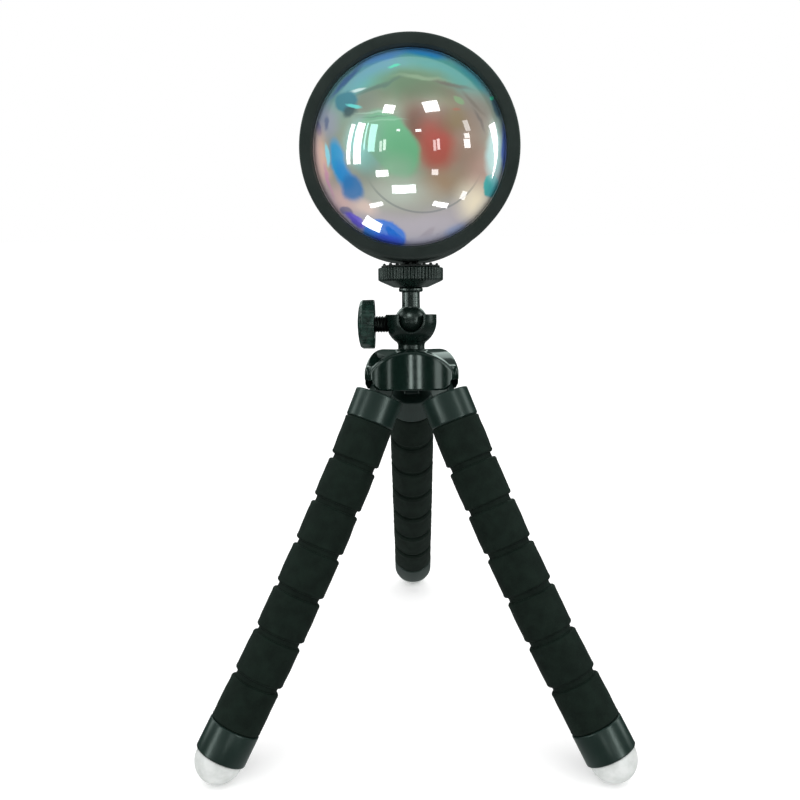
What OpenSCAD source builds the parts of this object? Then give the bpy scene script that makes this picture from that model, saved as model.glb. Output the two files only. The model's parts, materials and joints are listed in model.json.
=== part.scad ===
// Projection lamp on a small tripod with three bendable foam legs.
// Millimetres. +Z is up, +Y is behind the lamp, and the origin lies on the
// table under the middle of the whole object.
//
// Three frames are used below:
//   column()      the hub's own axis, z = 0 at the hub's lower edge
//   head()        the lamp's optical axis, z forwards from the mounting screw
//   section(l,k)  part k of leg l, z down the leg from the joint it turns on

/* [Lamp head] */
// Diameter of the front bezel
bezel_d = 75; // [66:0.2:84]
// Diameter of the opening in the bezel
bezel_opening_d = 65.8; // [58:0.2:68]
// Length of the bezel along the optical axis
bezel_len = 11.5; // [9:0.5:16]
// Thickness of the bezel's front lip
bezel_lip = 2.5; // [1.5:0.1:4]
// Thickness of the bezel's skirt over the housing
bezel_skirt = 2.05; // [1.2:0.05:3]
// Step from the bezel down to the housing behind it
bezel_step = 0.7; // [0.2:0.1:2]
// Wall of the housing behind the lamp's internal shoulder
housing_wall = 2.4; // [1.6:0.1:3.2]
// Height of the lens dome over its flange
dome_h = 17; // [8:0.5:24]
// Thickness of the lens flange
lens_flange = 2.2; // [1.4:0.1:3]
// Thickness of the lens seal
seal_t = 1; // [0.5:0.1:2]
// From the mounting screw's axis forwards to the bezel's face
head_front = 18.9; // [18:0.1:24]
// From the mounting screw's axis back to the rear cover's face
head_back = 23.1; // [22:0.1:34]
// Thickness of the rear cover
cover_t = 2.1; // [1.5:0.1:3]
// Bore of the cable gland
gland_bore_d = 4; // [3:0.1:5]

/* [Lamp internals] */
// Diameter of the coated glass filter
filter_d = 51.6; // [40:0.2:54]
// Thickness of the coated glass filter
filter_t = 1.1; // [0.8:0.1:1.8]
// Diameter of the emitter's board
board_d = 29; // [28:0.5:34]
// Thickness of the emitter's board
board_t = 1.6; // [1:0.1:2]
// Diameter of the emitter
emitter_d = 10; // [7:0.5:11]
// Widest inside diameter of the reflector
reflector_d = 50; // [40:1:52]
// Thickness of the heat sink's plate
sink_plate = 2.6; // [2:0.1:3]
// Length of the heat sink's fins
fin_len = 5; // [3:0.5:5]
// Thickness of each fin
fin_t = 1.6; // [1:0.1:2]
// Spacing of the fins
fin_pitch = 4; // [3.6:0.1:5]
// Diameter of the driver board
driver_d = 34; // [28:1:36]

/* [Ball head] */
// Diameter of the ball
ball_d = 12; // [10:0.1:13]
// Outside diameter of the ball's cup
cup_d = 18.8; // [17:0.1:22]
// Height of the cup's rim over the ball's centre
cup_rim = 2.5; // [1.5:0.1:3]
// Width of the notch in the front of the cup
notch_w = 8.6; // [7.6:0.1:9]
// Depth of the notch below the ball's centre
notch_drop = 3.9; // [3.6:0.1:4.4]
// Diameter of the cup's neck
neck_d = 9.8; // [8:0.1:11]
// Height of the ball's centre over the hub's top
ball_rise = 10.3; // [9.8:0.1:14]
// Diameter of the stem
stem_d = 6.6; // [5:0.1:7]
// From the ball's centre to the underside of the stem's flange
stem_len = 10.7; // [10.5:0.1:14]
// Diameter of the stem's flange
flange_d = 8.8; // [7.5:0.1:10]
// Thickness of the stem's flange
flange_t = 1.6; // [1:0.1:2.5]
// Diameter of the mounting screw, a 1/4 inch camera thread
screw_d = 6.35; // [6:0.05:6.6]
// Reach of the mounting screw into the lamp
screw_reach = 6; // [4:0.5:7]
// Diameter of the locking wheel under the lamp
wheel_d = 23.8; // [20:0.2:26]
// Height of the wheel's knurled rim
wheel_rim_h = 4.7; // [3:0.1:6]
// Height of the wheel's cone
wheel_cone_h = 2.3; // [1:0.1:3]
// Diameter of the foot of the wheel's cone
wheel_cone_d = 12.6; // [10:0.2:16]
// Number of grooves in the wheel's rim
wheel_grooves = 56; // [24:2:60]
// Thickness of the rubber pad on the wheel, without its ribs
pad_t = 0.8; // [0.5:0.1:1.5]
// Height of the pad's ribs
pad_rib = 0.7; // [0.3:0.1:1]
// Gap between the pad's ribs and the lamp
pad_gap = 1.1; // [0.6:0.1:3]
// Diameter of the clamp knob
knob_d = 18; // [14:0.1:19]
// Thickness of the clamp knob at its rim
knob_t = 5.2; // [3.5:0.1:6]
// Height of the clamp knob's domed face
knob_dome = 1.1; // [0.4:0.1:2]
// Bare length of the clamp screw between the cup and the knob
knob_gap = 4; // [2:0.1:8]
// Diameter of the clamp screw
clamp_screw_d = 6.2; // [5:0.1:6.6]
// Drop of the clamp screw's axis below the ball's centre
clamp_drop = 1; // [0:0.1:1.5]

/* [Hub] */
// Height of the hub
hub_h = 14.2; // [13:0.1:18]
// Half width of each of the hub's three arched lobes
lobe_half_w = 15.3; // [14:0.1:16.5]
// Reach of each lobe from the hub's axis
lobe_reach = 13.5; // [12:0.1:15]
// Radius of each lobe's arch
lobe_arch_r = 20; // [18:0.5:26]
// Radius of each lobe's bowed end wall
lobe_bow_r = 50; // [35:1:90]
// Widest splay of a leg that the hub leaves room for
widest_splay = 44; // [38:0.5:46]
// Distance of the legs' hinge pins from the hub's axis
pin_r = 10.8; // [10.4:0.1:11.4]
// Height of the hinge pins over the hub's lower edge
pin_z = 3.9; // [3.8:0.1:4.4]
// Diameter of the hinge pins
pin_d = 2.2; // [1.6:0.1:2.2]
// Length of the hinge pins
pin_len = 11.2; // [9:0.2:11.6]

/* [Legs] */
// Splay of the two front legs from the hub's axis
front_splay = 24.4; // [15:0.1:34]
// Further turn outwards at each bend of the front legs
front_curl = 2; // [-2:0.1:4]
// Splay of the rear leg from the hub's axis
rear_splay = 38; // [25:0.1:42]
// Further turn outwards at each bend of the rear leg
rear_curl = 2.3; // [-2:0.1:4]
// Diameter of the collar on top of each leg
collar_d = 17.7; // [16:0.1:18]
// Length of the collar
collar_len = 10.5; // [8:0.1:13]
// From the hinge pin to the collar
collar_start = 6.7; // [6.5:0.1:8]
// Width of the hinge tab
tab_w = 5; // [4:0.1:5.4]
// Thickness of the hinge tab, also its barrel's diameter
tab_t = 7.2; // [5:0.1:7.4]
// Diameter of the foam
foam_d = 18; // [15:0.1:18.2]
// Spacing of the grooves in the foam
groove_pitch = 16.4; // [13:0.1:20]
// Width of the grooves
groove_w = 2; // [1.8:0.1:3]
// Depth of the grooves
groove_depth = 1.1; // [0.6:0.1:2]
// Rounding of the foam's edges at the grooves
foam_edge = 1; // [0.5:0.1:1.1]
// Diameter of the bendable core inside the foam
core_d = 5; // [3:0.1:6]
// Diameter of the ferrule
ferrule_d = 18.1; // [16:0.1:19]
// Length of the ferrule
ferrule_len = 10.9; // [9:0.1:14]
// Diameter of the round rubber foot
foot_d = 16.5; // [14:0.1:17.6]

/* [Fits] */
// Gap around parts that run on each other
run_gap = 0.05; // [0.02:0.01:0.1]
// Gap around parts pressed or screwed into each other
press_gap = 0.02; // [0:0.01:0.05]
// Gap between parts that move past each other
free_gap = 0.3; // [0.2:0.05:0.5]

/* [Hidden] */
$fn = 96;
eps = 0.01;
over = 1;

// Colours, as the photograph shows them.
gloss_black = [0.07, 0.09, 0.09];
satin_black = [0.13, 0.16, 0.15];
foam_black = [0.05, 0.06, 0.06];
rubber_white = [0.93, 0.93, 0.92];
brass = [0.78, 0.62, 0.32];
steel = [0.62, 0.63, 0.65];
aluminium = [0.75, 0.76, 0.78];

// ---- legs: which is which, and where their joints are
LEFT = 0;
RIGHT = 1;
REAR = 2;
leg_azimuth = [-60, 60, 180];
leg_splay = [front_splay, front_splay, rear_splay];
leg_curl = [front_curl, front_curl, rear_curl];
collar_end = collar_start + collar_len;
first_section = collar_end + groove_pitch - groove_w / 2 + 0.4;
long_section = 2 * groove_pitch;
section_len = [first_section, long_section, long_section];
foot_r = foot_d / 2;
foot_sink = 0.9;
bend_cut = 0.1;
seat_rise = 0.15;
valley_at = lobe_half_w - 1.3;
valley_r = 4;
valley_drop = 5.5;

function splay(leg, k) = leg_splay[leg] + k * leg_curl[leg];
// Distance from the hub's axis, and height, of the joint that section k turns on.
function joint_at(leg, k) = k == 0 ? [pin_r, pin_z] :
    joint_at(leg, k - 1) + section_len[k - 1] * [sin(splay(leg, k - 1)), -cos(splay(leg, k - 1))];
function along(leg, k, t) = joint_at(leg, k) + t * [sin(splay(leg, k)), -cos(splay(leg, k))];
function on_column(leg, at) =
    [at.x * sin(leg_azimuth[leg]), -at.x * cos(leg_azimuth[leg]), at.y];

// ---- how the column leans, so that all three feet stand on the table
ferrule_start = long_section;
ferrule_end = ferrule_start + ferrule_len;
front_foot = on_column(RIGHT, along(RIGHT, 3, ferrule_end + foot_sink));
rear_foot = on_column(REAR, along(REAR, 3, ferrule_end + foot_sink));
lean = atan2(rear_foot.z - front_foot.z, rear_foot.y - front_foot.y);
lift = foot_r - (front_foot.z * cos(lean) - front_foot.y * sin(lean));

// ---- the middle of the object from front to back, between the ferrules' outer edges
function level_y(p) = p.y * cos(lean) + p.z * sin(lean);
function edge_reach(leg) = let (
        s = splay(leg, 3),
        d = level_y([0, -cos(leg_azimuth[leg]) * sin(s), -cos(s)])
    ) ferrule_d / 2 * sqrt(1 - d * d);
function edge_y(leg, side, t) = level_y(on_column(leg, along(leg, 3, t))) + side * edge_reach(leg);
front_y = min(edge_y(RIGHT, -1, ferrule_end), level_y(front_foot) - foot_r);
back_y = max(edge_y(REAR, 1, ferrule_end), level_y(rear_foot) + foot_r);
middle_y = (front_y + back_y) / 2;

// ---- ball head levels over the hub's lower edge
ball_z = hub_h + ball_rise;
ball_r = ball_d / 2;
cup_r = cup_d / 2;
cavity_r = ball_r + run_gap;
screw_r = screw_d / 2;
shank_r = 1.8;
wheel_z = ball_z + stem_len + flange_t + run_gap;
pad_z = wheel_z + wheel_cone_h + wheel_rim_h;
knob_x = cup_r + knob_gap;
clamp_z = ball_z - clamp_drop;

// ---- lamp head: radii, and places along the optical axis
bezel_r = bezel_d / 2;
housing_r = bezel_r - bezel_step;
collar_r = bezel_r - bezel_skirt - run_gap;
lens_r = collar_r - 0.3;
opening_r = bezel_opening_d / 2;
dome_r = opening_r - 0.2;
dome_sphere_r = (dome_r * dome_r + dome_h * dome_h) / (2 * dome_h);
lip_back = head_front - bezel_lip;
lens_back = lip_back - lens_flange;
rim_front = lens_back - seal_t;
bezel_back = head_front - bezel_len;
inner_r = collar_r - 2.2;
ledge_r = inner_r - 3;
ledge_back = 4;
ledge_front = 6;
shoulder = -7.4;
sink_bore_r = housing_r - housing_wall;
cover_face = -head_back;
cover_front = cover_face + cover_t;
spigot_len = 2.5;
spigot_w = 2.2;
head_z = pad_z + pad_t + pad_rib + pad_gap + housing_r;
holder_t = 4;
filter_seat = ledge_front + holder_t - filter_t - 0.1;
pad_thick = 0.4;
board_back = shoulder + pad_thick;
board_front = board_back + board_t;
board_screw_r = board_d / 2 - 2.5;
reflector_wall = 1.2;
reflector_front = ledge_back;
reflector_throat_h = 1.5;
post_r = 3;
post_circle = 24;
post_angles = [90, 210, 330];
gland_y = -23.5;
gland_r = 4.4;
driver_back = cover_front + 2.4;
driver_t = 1.2;
driver_front = driver_back + driver_t;
driver_post_x = 11;
lead_x = fin_pitch / 2;
lead_y = board_d / 2 - 3.5;
lead_r = 0.6;
insert_r = 4.4;
boss_r = 5.8;
insert_len = 7;
insert_depth = 0.3;

// ---------------------------------------------------------------- frames

module column() {
    translate([0, -middle_y, lift])
        rotate([-lean, 0, 0])
            children();
}

module head() {
    column()
        translate([0, 0, head_z])
            rotate([90, 0, 0])
                children();
}

module section(leg, k) {
    at = joint_at(leg, k);
    column()
        rotate([0, 0, leg_azimuth[leg]])
            translate([0, -at.x, at.y])
                rotate([180 - splay(leg, k), 0, 0])
                    children();
}

// ---------------------------------------------------------------- shapes

function arc(cx, cy, r, a0, a1, n = 6) =
    [for (i = [0:n]) [cx + r * cos(a0 + (a1 - a0) * i / n), cy + r * sin(a0 + (a1 - a0) * i / n)]];

module ring(r_out, r_in, z0, z1) {
    difference() {
        translate([0, 0, z0])
            cylinder(r = r_out, h = z1 - z0);
        translate([0, 0, z0 - over])
            cylinder(r = r_in, h = z1 - z0 + 2 * over);
    }
}

module disc(r, z0, z1) {
    translate([0, 0, z0])
        cylinder(r = r, h = z1 - z0);
}

// A rod along X, from x0 to x1.
module rod_x(r, x0, x1) {
    translate([x0, 0, 0])
        rotate([0, 90, 0])
            cylinder(r = r, h = x1 - x0);
}

// ---------------------------------------------------------------- lamp head

module lamp_housing() {
    color(satin_black)
    head() difference() {
        union() {
            ring(housing_r, inner_r, shoulder, bezel_back - free_gap);
            ring(housing_r, sink_bore_r, cover_front, shoulder);
            ring(collar_r - run_gap, inner_r, shoulder, rim_front);
            ring(inner_r + eps, ledge_r, ledge_back, ledge_front);
            intersection() {
                translate([0, -housing_r + over, 0])
                    rotate([-90, 0, 0])
                        cylinder(r = boss_r, h = insert_len + 1.4);
                disc(housing_r, -boss_r, boss_r);
            }
        }
        translate([0, -housing_r - over, 0])
            rotate([-90, 0, 0])
                cylinder(r = insert_r + press_gap, h = insert_depth + insert_len + over);
    }
}

module front_bezel() {
    chamfer = 0.6;
    color(satin_black)
    head() rotate_extrude()
        polygon(concat(
            [[opening_r, lip_back],
             [lens_r + 0.1, lip_back],
             [lens_r + 0.1, lens_back],
             [collar_r, lens_back],
             [collar_r, bezel_back],
             [bezel_r - 0.3, bezel_back],
             [bezel_r, bezel_back + 0.3]],
            arc(bezel_r - 0.8, head_front - 0.8, 0.8, 0, 90),
            [[opening_r + chamfer, head_front],
             [opening_r, head_front - chamfer]]));
}

module front_lens() {
    color([0.55, 0.75, 0.8, 0.6])
    head() union() {
        disc(lens_r, lens_back, lip_back);
        intersection() {
            translate([0, 0, lip_back + dome_h - dome_sphere_r])
                sphere(r = dome_sphere_r, $fn = 128);
            disc(dome_r, lip_back - eps, lip_back + dome_h + over);
        }
    }
}

module lens_seal() {
    color(gloss_black)
    head() ring(lens_r, inner_r - 0.8, rim_front, lens_back);
}

module filter_holder() {
    color(satin_black)
    head() difference() {
        ring(inner_r - 0.2, filter_d / 2 - 1.8, ledge_front, ledge_front + holder_t);
        disc(filter_d / 2 + 0.1, filter_seat, ledge_front + holder_t + over);
    }
}

module dichroic_filter() {
    color([0.9, 0.45, 0.5, 0.7])
    head() disc(filter_d / 2, filter_seat, filter_seat + filter_t);
}

// A bowl that opens from the emitter to its wide front edge.
module led_reflector() {
    throat = emitter_d / 2 + 0.6;
    mouth = reflector_d / 2;
    bowl_back = board_front + reflector_throat_h;
    depth = reflector_front - bowl_back;
    bowl = concat([[throat, board_front]], [for (i = [0:8])
        let (u = i / 8) [throat + (mouth - throat) * pow(u, 0.62), bowl_back + depth * u]]);
    color([0.85, 0.86, 0.88])
    head() rotate_extrude()
        polygon(concat(bowl, [for (i = [len(bowl) - 1:-1:0]) bowl[i] + [reflector_wall, 0]]));
}

module led_emitter() {
    color([0.95, 0.85, 0.4])
    head() union() {
        disc(emitter_d / 2, board_front, board_front + 0.8);
        translate([0, 0, board_front + 0.8])
            intersection() {
                sphere(r = emitter_d * 0.35);
                disc(emitter_d, -eps, emitter_d);
            }
    }
}

module lead_holes(z0, z1) {
    for (side = [-1, 1])
        translate([side * lead_x, lead_y, 0])
            disc(lead_r + free_gap, z0, z1);
}

module board_screw_places() {
    for (side = [-1, 1])
        translate([side * board_screw_r, 0, 0])
            children();
}

module led_board() {
    color([0.92, 0.92, 0.9])
    head() difference() {
        disc(board_d / 2, board_back, board_front);
        board_screw_places() disc(1 + run_gap, board_back - over, board_front + over);
    }
}

module thermal_pad() {
    color([0.7, 0.72, 0.75])
    head() difference() {
        disc(board_d / 2, shoulder, board_back);
        board_screw_places() disc(1 + run_gap, shoulder - over, board_back + over);
        lead_holes(shoulder - over, board_back + over);
    }
}

module board_screws() {
    color(steel)
    head() board_screw_places() union() {
        disc(1, shoulder - sink_plate + 0.4, board_front);
        disc(1.8, board_front, board_front + 1.2);
    }
}

module post_places() {
    for (a = post_angles)
        rotate([0, 0, a])
            translate([post_circle, 0, 0])
                children();
}

module heat_sink() {
    plate_back = shoulder - sink_plate;
    fins = floor((post_circle + 2) / fin_pitch);
    color(aluminium)
    head() difference() {
        union() {
            disc(sink_bore_r - run_gap, plate_back, shoulder);
            post_places() disc(post_r, cover_front, plate_back + eps);
            intersection() {
                for (i = [-fins:fins])
                    translate([i * fin_pitch - fin_t / 2, -housing_r, plate_back - fin_len])
                        cube([fin_t, 2 * housing_r, fin_len + eps]);
                disc(post_circle + 2, plate_back - fin_len, plate_back + eps);
            }
        }
        post_places() disc(1.25 + run_gap, cover_front - over, cover_front + 6);
        board_screw_places() disc(1 + press_gap, plate_back + 0.3, shoulder + over);
        lead_holes(plate_back - fin_len - over, shoulder + over);
        translate([0, gland_y, 0])
            disc(gland_r + 2, plate_back - fin_len - over, plate_back - 0.5);
    }
}

module led_leads() {
    color([0.75, 0.12, 0.1])
    head() for (side = [-1, 1])
        translate([side * lead_x, lead_y, 0])
            disc(lead_r, driver_front, board_back);
}

module driver_board() {
    clear = shoulder - sink_plate - fin_len - 0.4;
    coil = [8, 7];
    chip = [6, 6];
    capacitor_r = 2.2;
    color([0.1, 0.35, 0.2])
    head() union() {
        disc(driver_d / 2, driver_back, driver_front);
        translate([-coil[0] - 1, -coil[1] - 2, driver_front - eps])
            cube([coil[0], coil[1], clear - driver_front]);
        translate([chip[0] / 2, -chip[1] - 4, driver_front - eps])
            cube([chip[0], chip[1], (clear - driver_front) * 0.7]);
        translate([driver_d / 4 - 0.5, capacitor_r, 0])
            disc(capacitor_r, driver_front - eps, clear);
    }
}

module rear_cover() {
    vent_w = 2;
    vent_len = 16;
    color(satin_black)
    head() difference() {
        union() {
            disc(housing_r, cover_face, cover_front);
            ring(sink_bore_r - run_gap, sink_bore_r - spigot_w, cover_front - eps, cover_front + spigot_len);
            for (side = [-1, 1])
                translate([side * driver_post_x, 0, 0])
                    disc(2, cover_front - eps, driver_back);
        }
        post_places() disc(1.25 + run_gap, cover_face - over, cover_front + over);
        post_places() disc(2.4, cover_face - over, cover_face + 1.1);
        translate([0, gland_y, 0])
            disc(gland_r + press_gap, cover_face - over, cover_front + over);
        for (i = [-3:3])
            translate([i * 5 - vent_w / 2, 3 - vent_len / 2 + 2, cover_face - over])
                cube([vent_w, vent_len - abs(i) * 1.6, cover_t + 2 * over]);
    }
}

module rear_screws() {
    color(steel)
    head() post_places() union() {
        disc(1.25, cover_face + 0.8, cover_front + 5.6);
        difference() {
            disc(2.3, cover_face + 0.1, cover_face + 1.1);
            translate([-2.4, -0.3, cover_face])
                cube([4.8, 0.6, 0.6]);
        }
    }
}

// The bush that a lead passes through, with its tail outside the cover.
module cable_gland() {
    tail = 7;
    r = gland_bore_d / 2;
    color(gloss_black)
    head() translate([0, gland_y, 0])
        rotate_extrude()
            polygon([
                [r, cover_face - tail],
                [r + 1, cover_face - tail],
                [r + 1.6, cover_face - 1.6],
                [gland_r + 1.4, cover_face - 1.6],
                [gland_r + 1.4, cover_face],
                [gland_r, cover_face],
                [gland_r, cover_front],
                [gland_r + 0.9, cover_front],
                [gland_r + 0.4, cover_front + 1.2],
                [r, cover_front + 1.2]]);
}

module mount_insert() {
    color(brass)
    column() translate([0, 0, head_z - housing_r + insert_depth])
        ring(insert_r, screw_r + run_gap, 0, insert_len);
}

// ---------------------------------------------------------------- ball head

module mount_screw() {
    color(gloss_black)
    column() union() {
        disc(shank_r, ball_z + ball_r / 2, ball_z + stem_len + flange_t + eps);
        disc(screw_r, ball_z + stem_len + flange_t, head_z - housing_r + screw_reach);
    }
}

module ball_stem() {
    color(gloss_black)
    column() difference() {
        union() {
            translate([0, 0, ball_z])
                sphere(r = ball_r);
            disc(stem_d / 2, ball_z, ball_z + stem_len);
            disc(flange_d / 2, ball_z + stem_len, ball_z + stem_len + flange_t);
        }
        disc(shank_r + press_gap, ball_z + ball_r / 2, ball_z + stem_len + flange_t + over);
    }
}

module shoe_wheel() {
    groove_r = 0.42;
    color(gloss_black)
    column() translate([0, 0, wheel_z]) difference() {
        rotate_extrude()
            polygon([
                [screw_r + run_gap, 0],
                [wheel_cone_d / 2, 0],
                [wheel_d / 2 - 0.4, wheel_cone_h],
                [wheel_d / 2, wheel_cone_h + 0.4],
                [wheel_d / 2, wheel_cone_h + wheel_rim_h - 0.3],
                [wheel_d / 2 - 0.3, wheel_cone_h + wheel_rim_h],
                [screw_r + run_gap, wheel_cone_h + wheel_rim_h]]);
        for (i = [0:wheel_grooves - 1])
            rotate([0, 0, i * 360 / wheel_grooves])
                translate([wheel_d / 2 + 0.1, 0, wheel_cone_h - over])
                    cylinder(r = groove_r, h = wheel_rim_h + 2 * over, $fn = 16);
    }
}

module shoe_pad() {
    color(foam_black)
    column() translate([0, 0, pad_z]) difference() {
        union() {
            disc(wheel_d / 2 - 1.2, 0, pad_t);
            intersection() {
                for (i = [-4:4])
                    translate([i * 2.4 - 0.5, -wheel_d / 2, pad_t - eps])
                        cube([1, wheel_d, pad_rib + eps]);
                disc(wheel_d / 2 - 1.6, 0, pad_t + pad_rib);
            }
        }
        disc(screw_r + run_gap, -over, pad_t + pad_rib + over);
    }
}

module ball_cup() {
    notch_r = notch_w / 2;
    notch_z = ball_z - notch_drop + notch_r;
    color(gloss_black)
    column() difference() {
        union() {
            disc(neck_d / 2, hub_h, ball_z);
            intersection() {
                union() {
                    translate([0, 0, ball_z])
                        sphere(r = cup_r);
                    disc(cup_r, ball_z, ball_z + cup_rim);
                }
                disc(cup_r + over, hub_h, ball_z + cup_rim);
            }
        }
        translate([0, 0, ball_z])
            sphere(r = cavity_r);
        translate([0, 0, notch_z])
            rotate([90, 0, 0])
                cylinder(r = notch_r, h = cup_r + over);
        translate([-notch_r, -cup_r - over, notch_z])
            cube([notch_w, cup_r + over, cup_rim + notch_drop + over]);
        translate([0, 0, clamp_z])
            rod_x(clamp_screw_d / 2 + run_gap, -cup_r - over, 0);
        disc(1.7, hub_h - over, ball_z - cavity_r - 0.8);
    }
}

module clamp_pad() {
    color(brass)
    column() difference() {
        translate([0, 0, clamp_z])
            rod_x(clamp_screw_d / 2 - 0.2, -ball_r - 1.6, -ball_r + 1);
        translate([0, 0, ball_z])
            sphere(r = cavity_r);
    }
}

module knob_screw() {
    color(gloss_black)
    column() translate([0, 0, clamp_z])
        rod_x(clamp_screw_d / 2, -knob_x - knob_t * 0.6, -ball_r - 1.6 - free_gap / 2);
}

module lock_knob() {
    face = -knob_x - knob_t;
    dome_sphere = (pow(knob_d / 2 - 0.6, 2) + knob_dome * knob_dome) / (2 * knob_dome);
    color(gloss_black)
    column() translate([0, 0, clamp_z]) difference() {
        union() {
            rod_x(knob_d / 2, face, -knob_x);
            intersection() {
                translate([face - knob_dome + dome_sphere, 0, 0])
                    sphere(r = dome_sphere, $fn = 160);
                rod_x(knob_d / 2 - 0.6, face - knob_dome - over, face + eps);
            }
        }
        rod_x(clamp_screw_d / 2 + press_gap, -knob_x - knob_t * 0.6, -knob_x + over);
        for (i = [0:23])
            rotate([i * 15 + 7.5, 0, 0])
                translate([face - over, 0, knob_d / 2 + 0.35])
                    rotate([0, 90, 0])
                        cylinder(r = 0.75, h = knob_t + 2 * over, $fn = 20);
    }
}

// ---------------------------------------------------------------- hub

// One arched lobe of the hub, facing the front. Its back lies inside the other two lobes.
module hub_lobe() {
    back = 2.6;
    tall = hub_h + 2 * over;
    intersection() {
        translate([0, 0, hub_h - seat_rise - lobe_arch_r])
            rotate([90, 0, 0])
                cylinder(r = lobe_arch_r, h = lobe_reach + 2 * over);
        translate([0, lobe_bow_r - lobe_reach, -over])
            cylinder(r = lobe_bow_r, h = tall);
        translate([-lobe_half_w, -lobe_reach - over, 0])
            cube([2 * lobe_half_w, lobe_reach + over - back, tall]);
    }
}

// Room for a leg's hinge tab and collar, cut from the hub's underside.
module leg_room() {
    slot_w = tab_w + 2 * free_gap;
    roof = pin_z + tab_t / 2 + 0.4;
    back = pin_r - tab_t / 2 - free_gap;
    front = pin_r + tab_t / 2 + free_gap;
    translate([-slot_w / 2, -front, -over])
        cube([slot_w, front - back, roof + over]);
    translate([-slot_w / 2, -front - 1.6, -over])
        cube([slot_w, 2, pin_z + 1.4 + over]);
    translate([-slot_w / 2, -lobe_arch_r - over, -over])
        cube([slot_w, lobe_arch_r + over - front, 3.5 + over]);
    translate([0, -pin_r, pin_z])
        rotate([180 - widest_splay, 0, 0])
            translate([-lobe_half_w, -lobe_arch_r, collar_start - free_gap])
                cube([2 * lobe_half_w, 2 * lobe_arch_r, 2 * lobe_arch_r]);
    translate([0, -pin_r, pin_z])
        rod_x(pin_d / 2 + press_gap, -pin_len / 2 - 0.1, pin_len / 2 + 0.1);
}

module hub() {
    color(gloss_black)
    column() difference() {
        union() {
            for (a = [0, 120, 240])
                rotate([0, 0, a])
                    hub_lobe();
            for (leg = [LEFT, RIGHT, REAR])
                rotate([0, 0, leg_azimuth[leg]])
                    translate([0, -valley_at, 0])
                        cylinder(r = valley_r, h = hub_h - valley_drop);
            disc(neck_d / 2 + 0.8, 0, hub_h);
        }
        for (leg = [LEFT, RIGHT, REAR])
            rotate([0, 0, leg_azimuth[leg]])
                leg_room();
        disc(1.7, -over, hub_h + over);
        disc(3.4, -over, 2.4);
    }
}

module hub_screw() {
    color(steel)
    column() union() {
        disc(1.7 - press_gap, 2.4 - eps, ball_z - cavity_r - 1.2);
        difference() {
            disc(3.2, 0.4, 2.4);
            translate([-3.3, -0.4, 0])
                cube([6.6, 0.8, 1.2]);
            translate([-0.4, -3.3, 0])
                cube([0.8, 6.6, 1.2]);
        }
    }
}

module hinge_pins() {
    color(steel)
    column() for (leg = [LEFT, RIGHT, REAR])
        rotate([0, 0, leg_azimuth[leg]])
            translate([0, -pin_r, pin_z])
                rod_x(pin_d / 2, -pin_len / 2, pin_len / 2);
}

// ---------------------------------------------------------------- legs

module leg_head(leg) {
    color(satin_black)
    section(leg, 0) difference() {
        union() {
            disc(collar_d / 2, collar_start, collar_end);
            rod_x(tab_t / 2, -tab_w / 2, tab_w / 2);
            translate([-tab_w / 2, -tab_t / 2, 0])
                cube([tab_w, tab_t, collar_start + eps]);
        }
        rod_x(pin_d / 2 + run_gap, -tab_w, tab_w);
        disc(core_d / 2 + press_gap, collar_start + 3, collar_end + over);
    }
}

// Outline of one foam segment between two heights, outwards from its bore.
function segment_outline(z0, z1) =
    let (r = foam_d / 2, e = foam_edge) concat(
        arc(r - e, z0 + e, e, -90, 0),
        arc(r - e, z1 - e, e, 0, 90));

// A length of foam made of segments [from, to], joined by the necks in its grooves.
module foam_length(spans) {
    bore = core_d / 2 + free_gap;
    neck_r = foam_d / 2 - groove_depth;
    color(foam_black)
    union() {
        for (s = spans)
            rotate_extrude()
                polygon(concat([[bore, s[0]]], segment_outline(s[0], s[1]), [[bore, s[1]]]));
        if (len(spans) > 1)
            ring(neck_r, bore, spans[0][1] - 0.5, spans[1][0] + 0.5);
    }
}

module foam(leg, k) {
    g = groove_w / 2;
    p = groove_pitch;
    section(leg, k)
        foam_length(
            k == 0 ? [[collar_end, section_len[0] - g]] :
            k == 3 ? [[g, p - g], [p + g, ferrule_start]] :
            [[g, p - g], [p + g, 2 * p - g]]);
}

// The bendable core: one rod from the collar to the ferrule, cut through at each joint.
module core(leg) {
    starts = [collar_start + 4, bend_cut, bend_cut, bend_cut];
    ends = [section_len[0] - bend_cut, section_len[1] - bend_cut, section_len[2] - bend_cut,
        ferrule_start + 4.5];
    color(steel)
    for (k = [0:3])
        section(leg, k)
            disc(core_d / 2, starts[k], ends[k]);
}

module ferrule(leg) {
    color(satin_black)
    section(leg, 3) difference() {
        disc(ferrule_d / 2, ferrule_start, ferrule_end);
        disc(core_d / 2 + press_gap, ferrule_start - over, ferrule_start + 4.7);
        disc(6 + press_gap, ferrule_end - 5, ferrule_end + over);
    }
}

module foot(leg) {
    color(rubber_white)
    section(leg, 3) union() {
        intersection() {
            translate([0, 0, ferrule_end + foot_sink])
                sphere(r = foot_r);
            disc(ferrule_d, ferrule_end, ferrule_end + foot_d);
        }
        disc(6, ferrule_end - 4.8, ferrule_end + eps);
    }
}

// ---------------------------------------------------------------- the nodes

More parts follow.
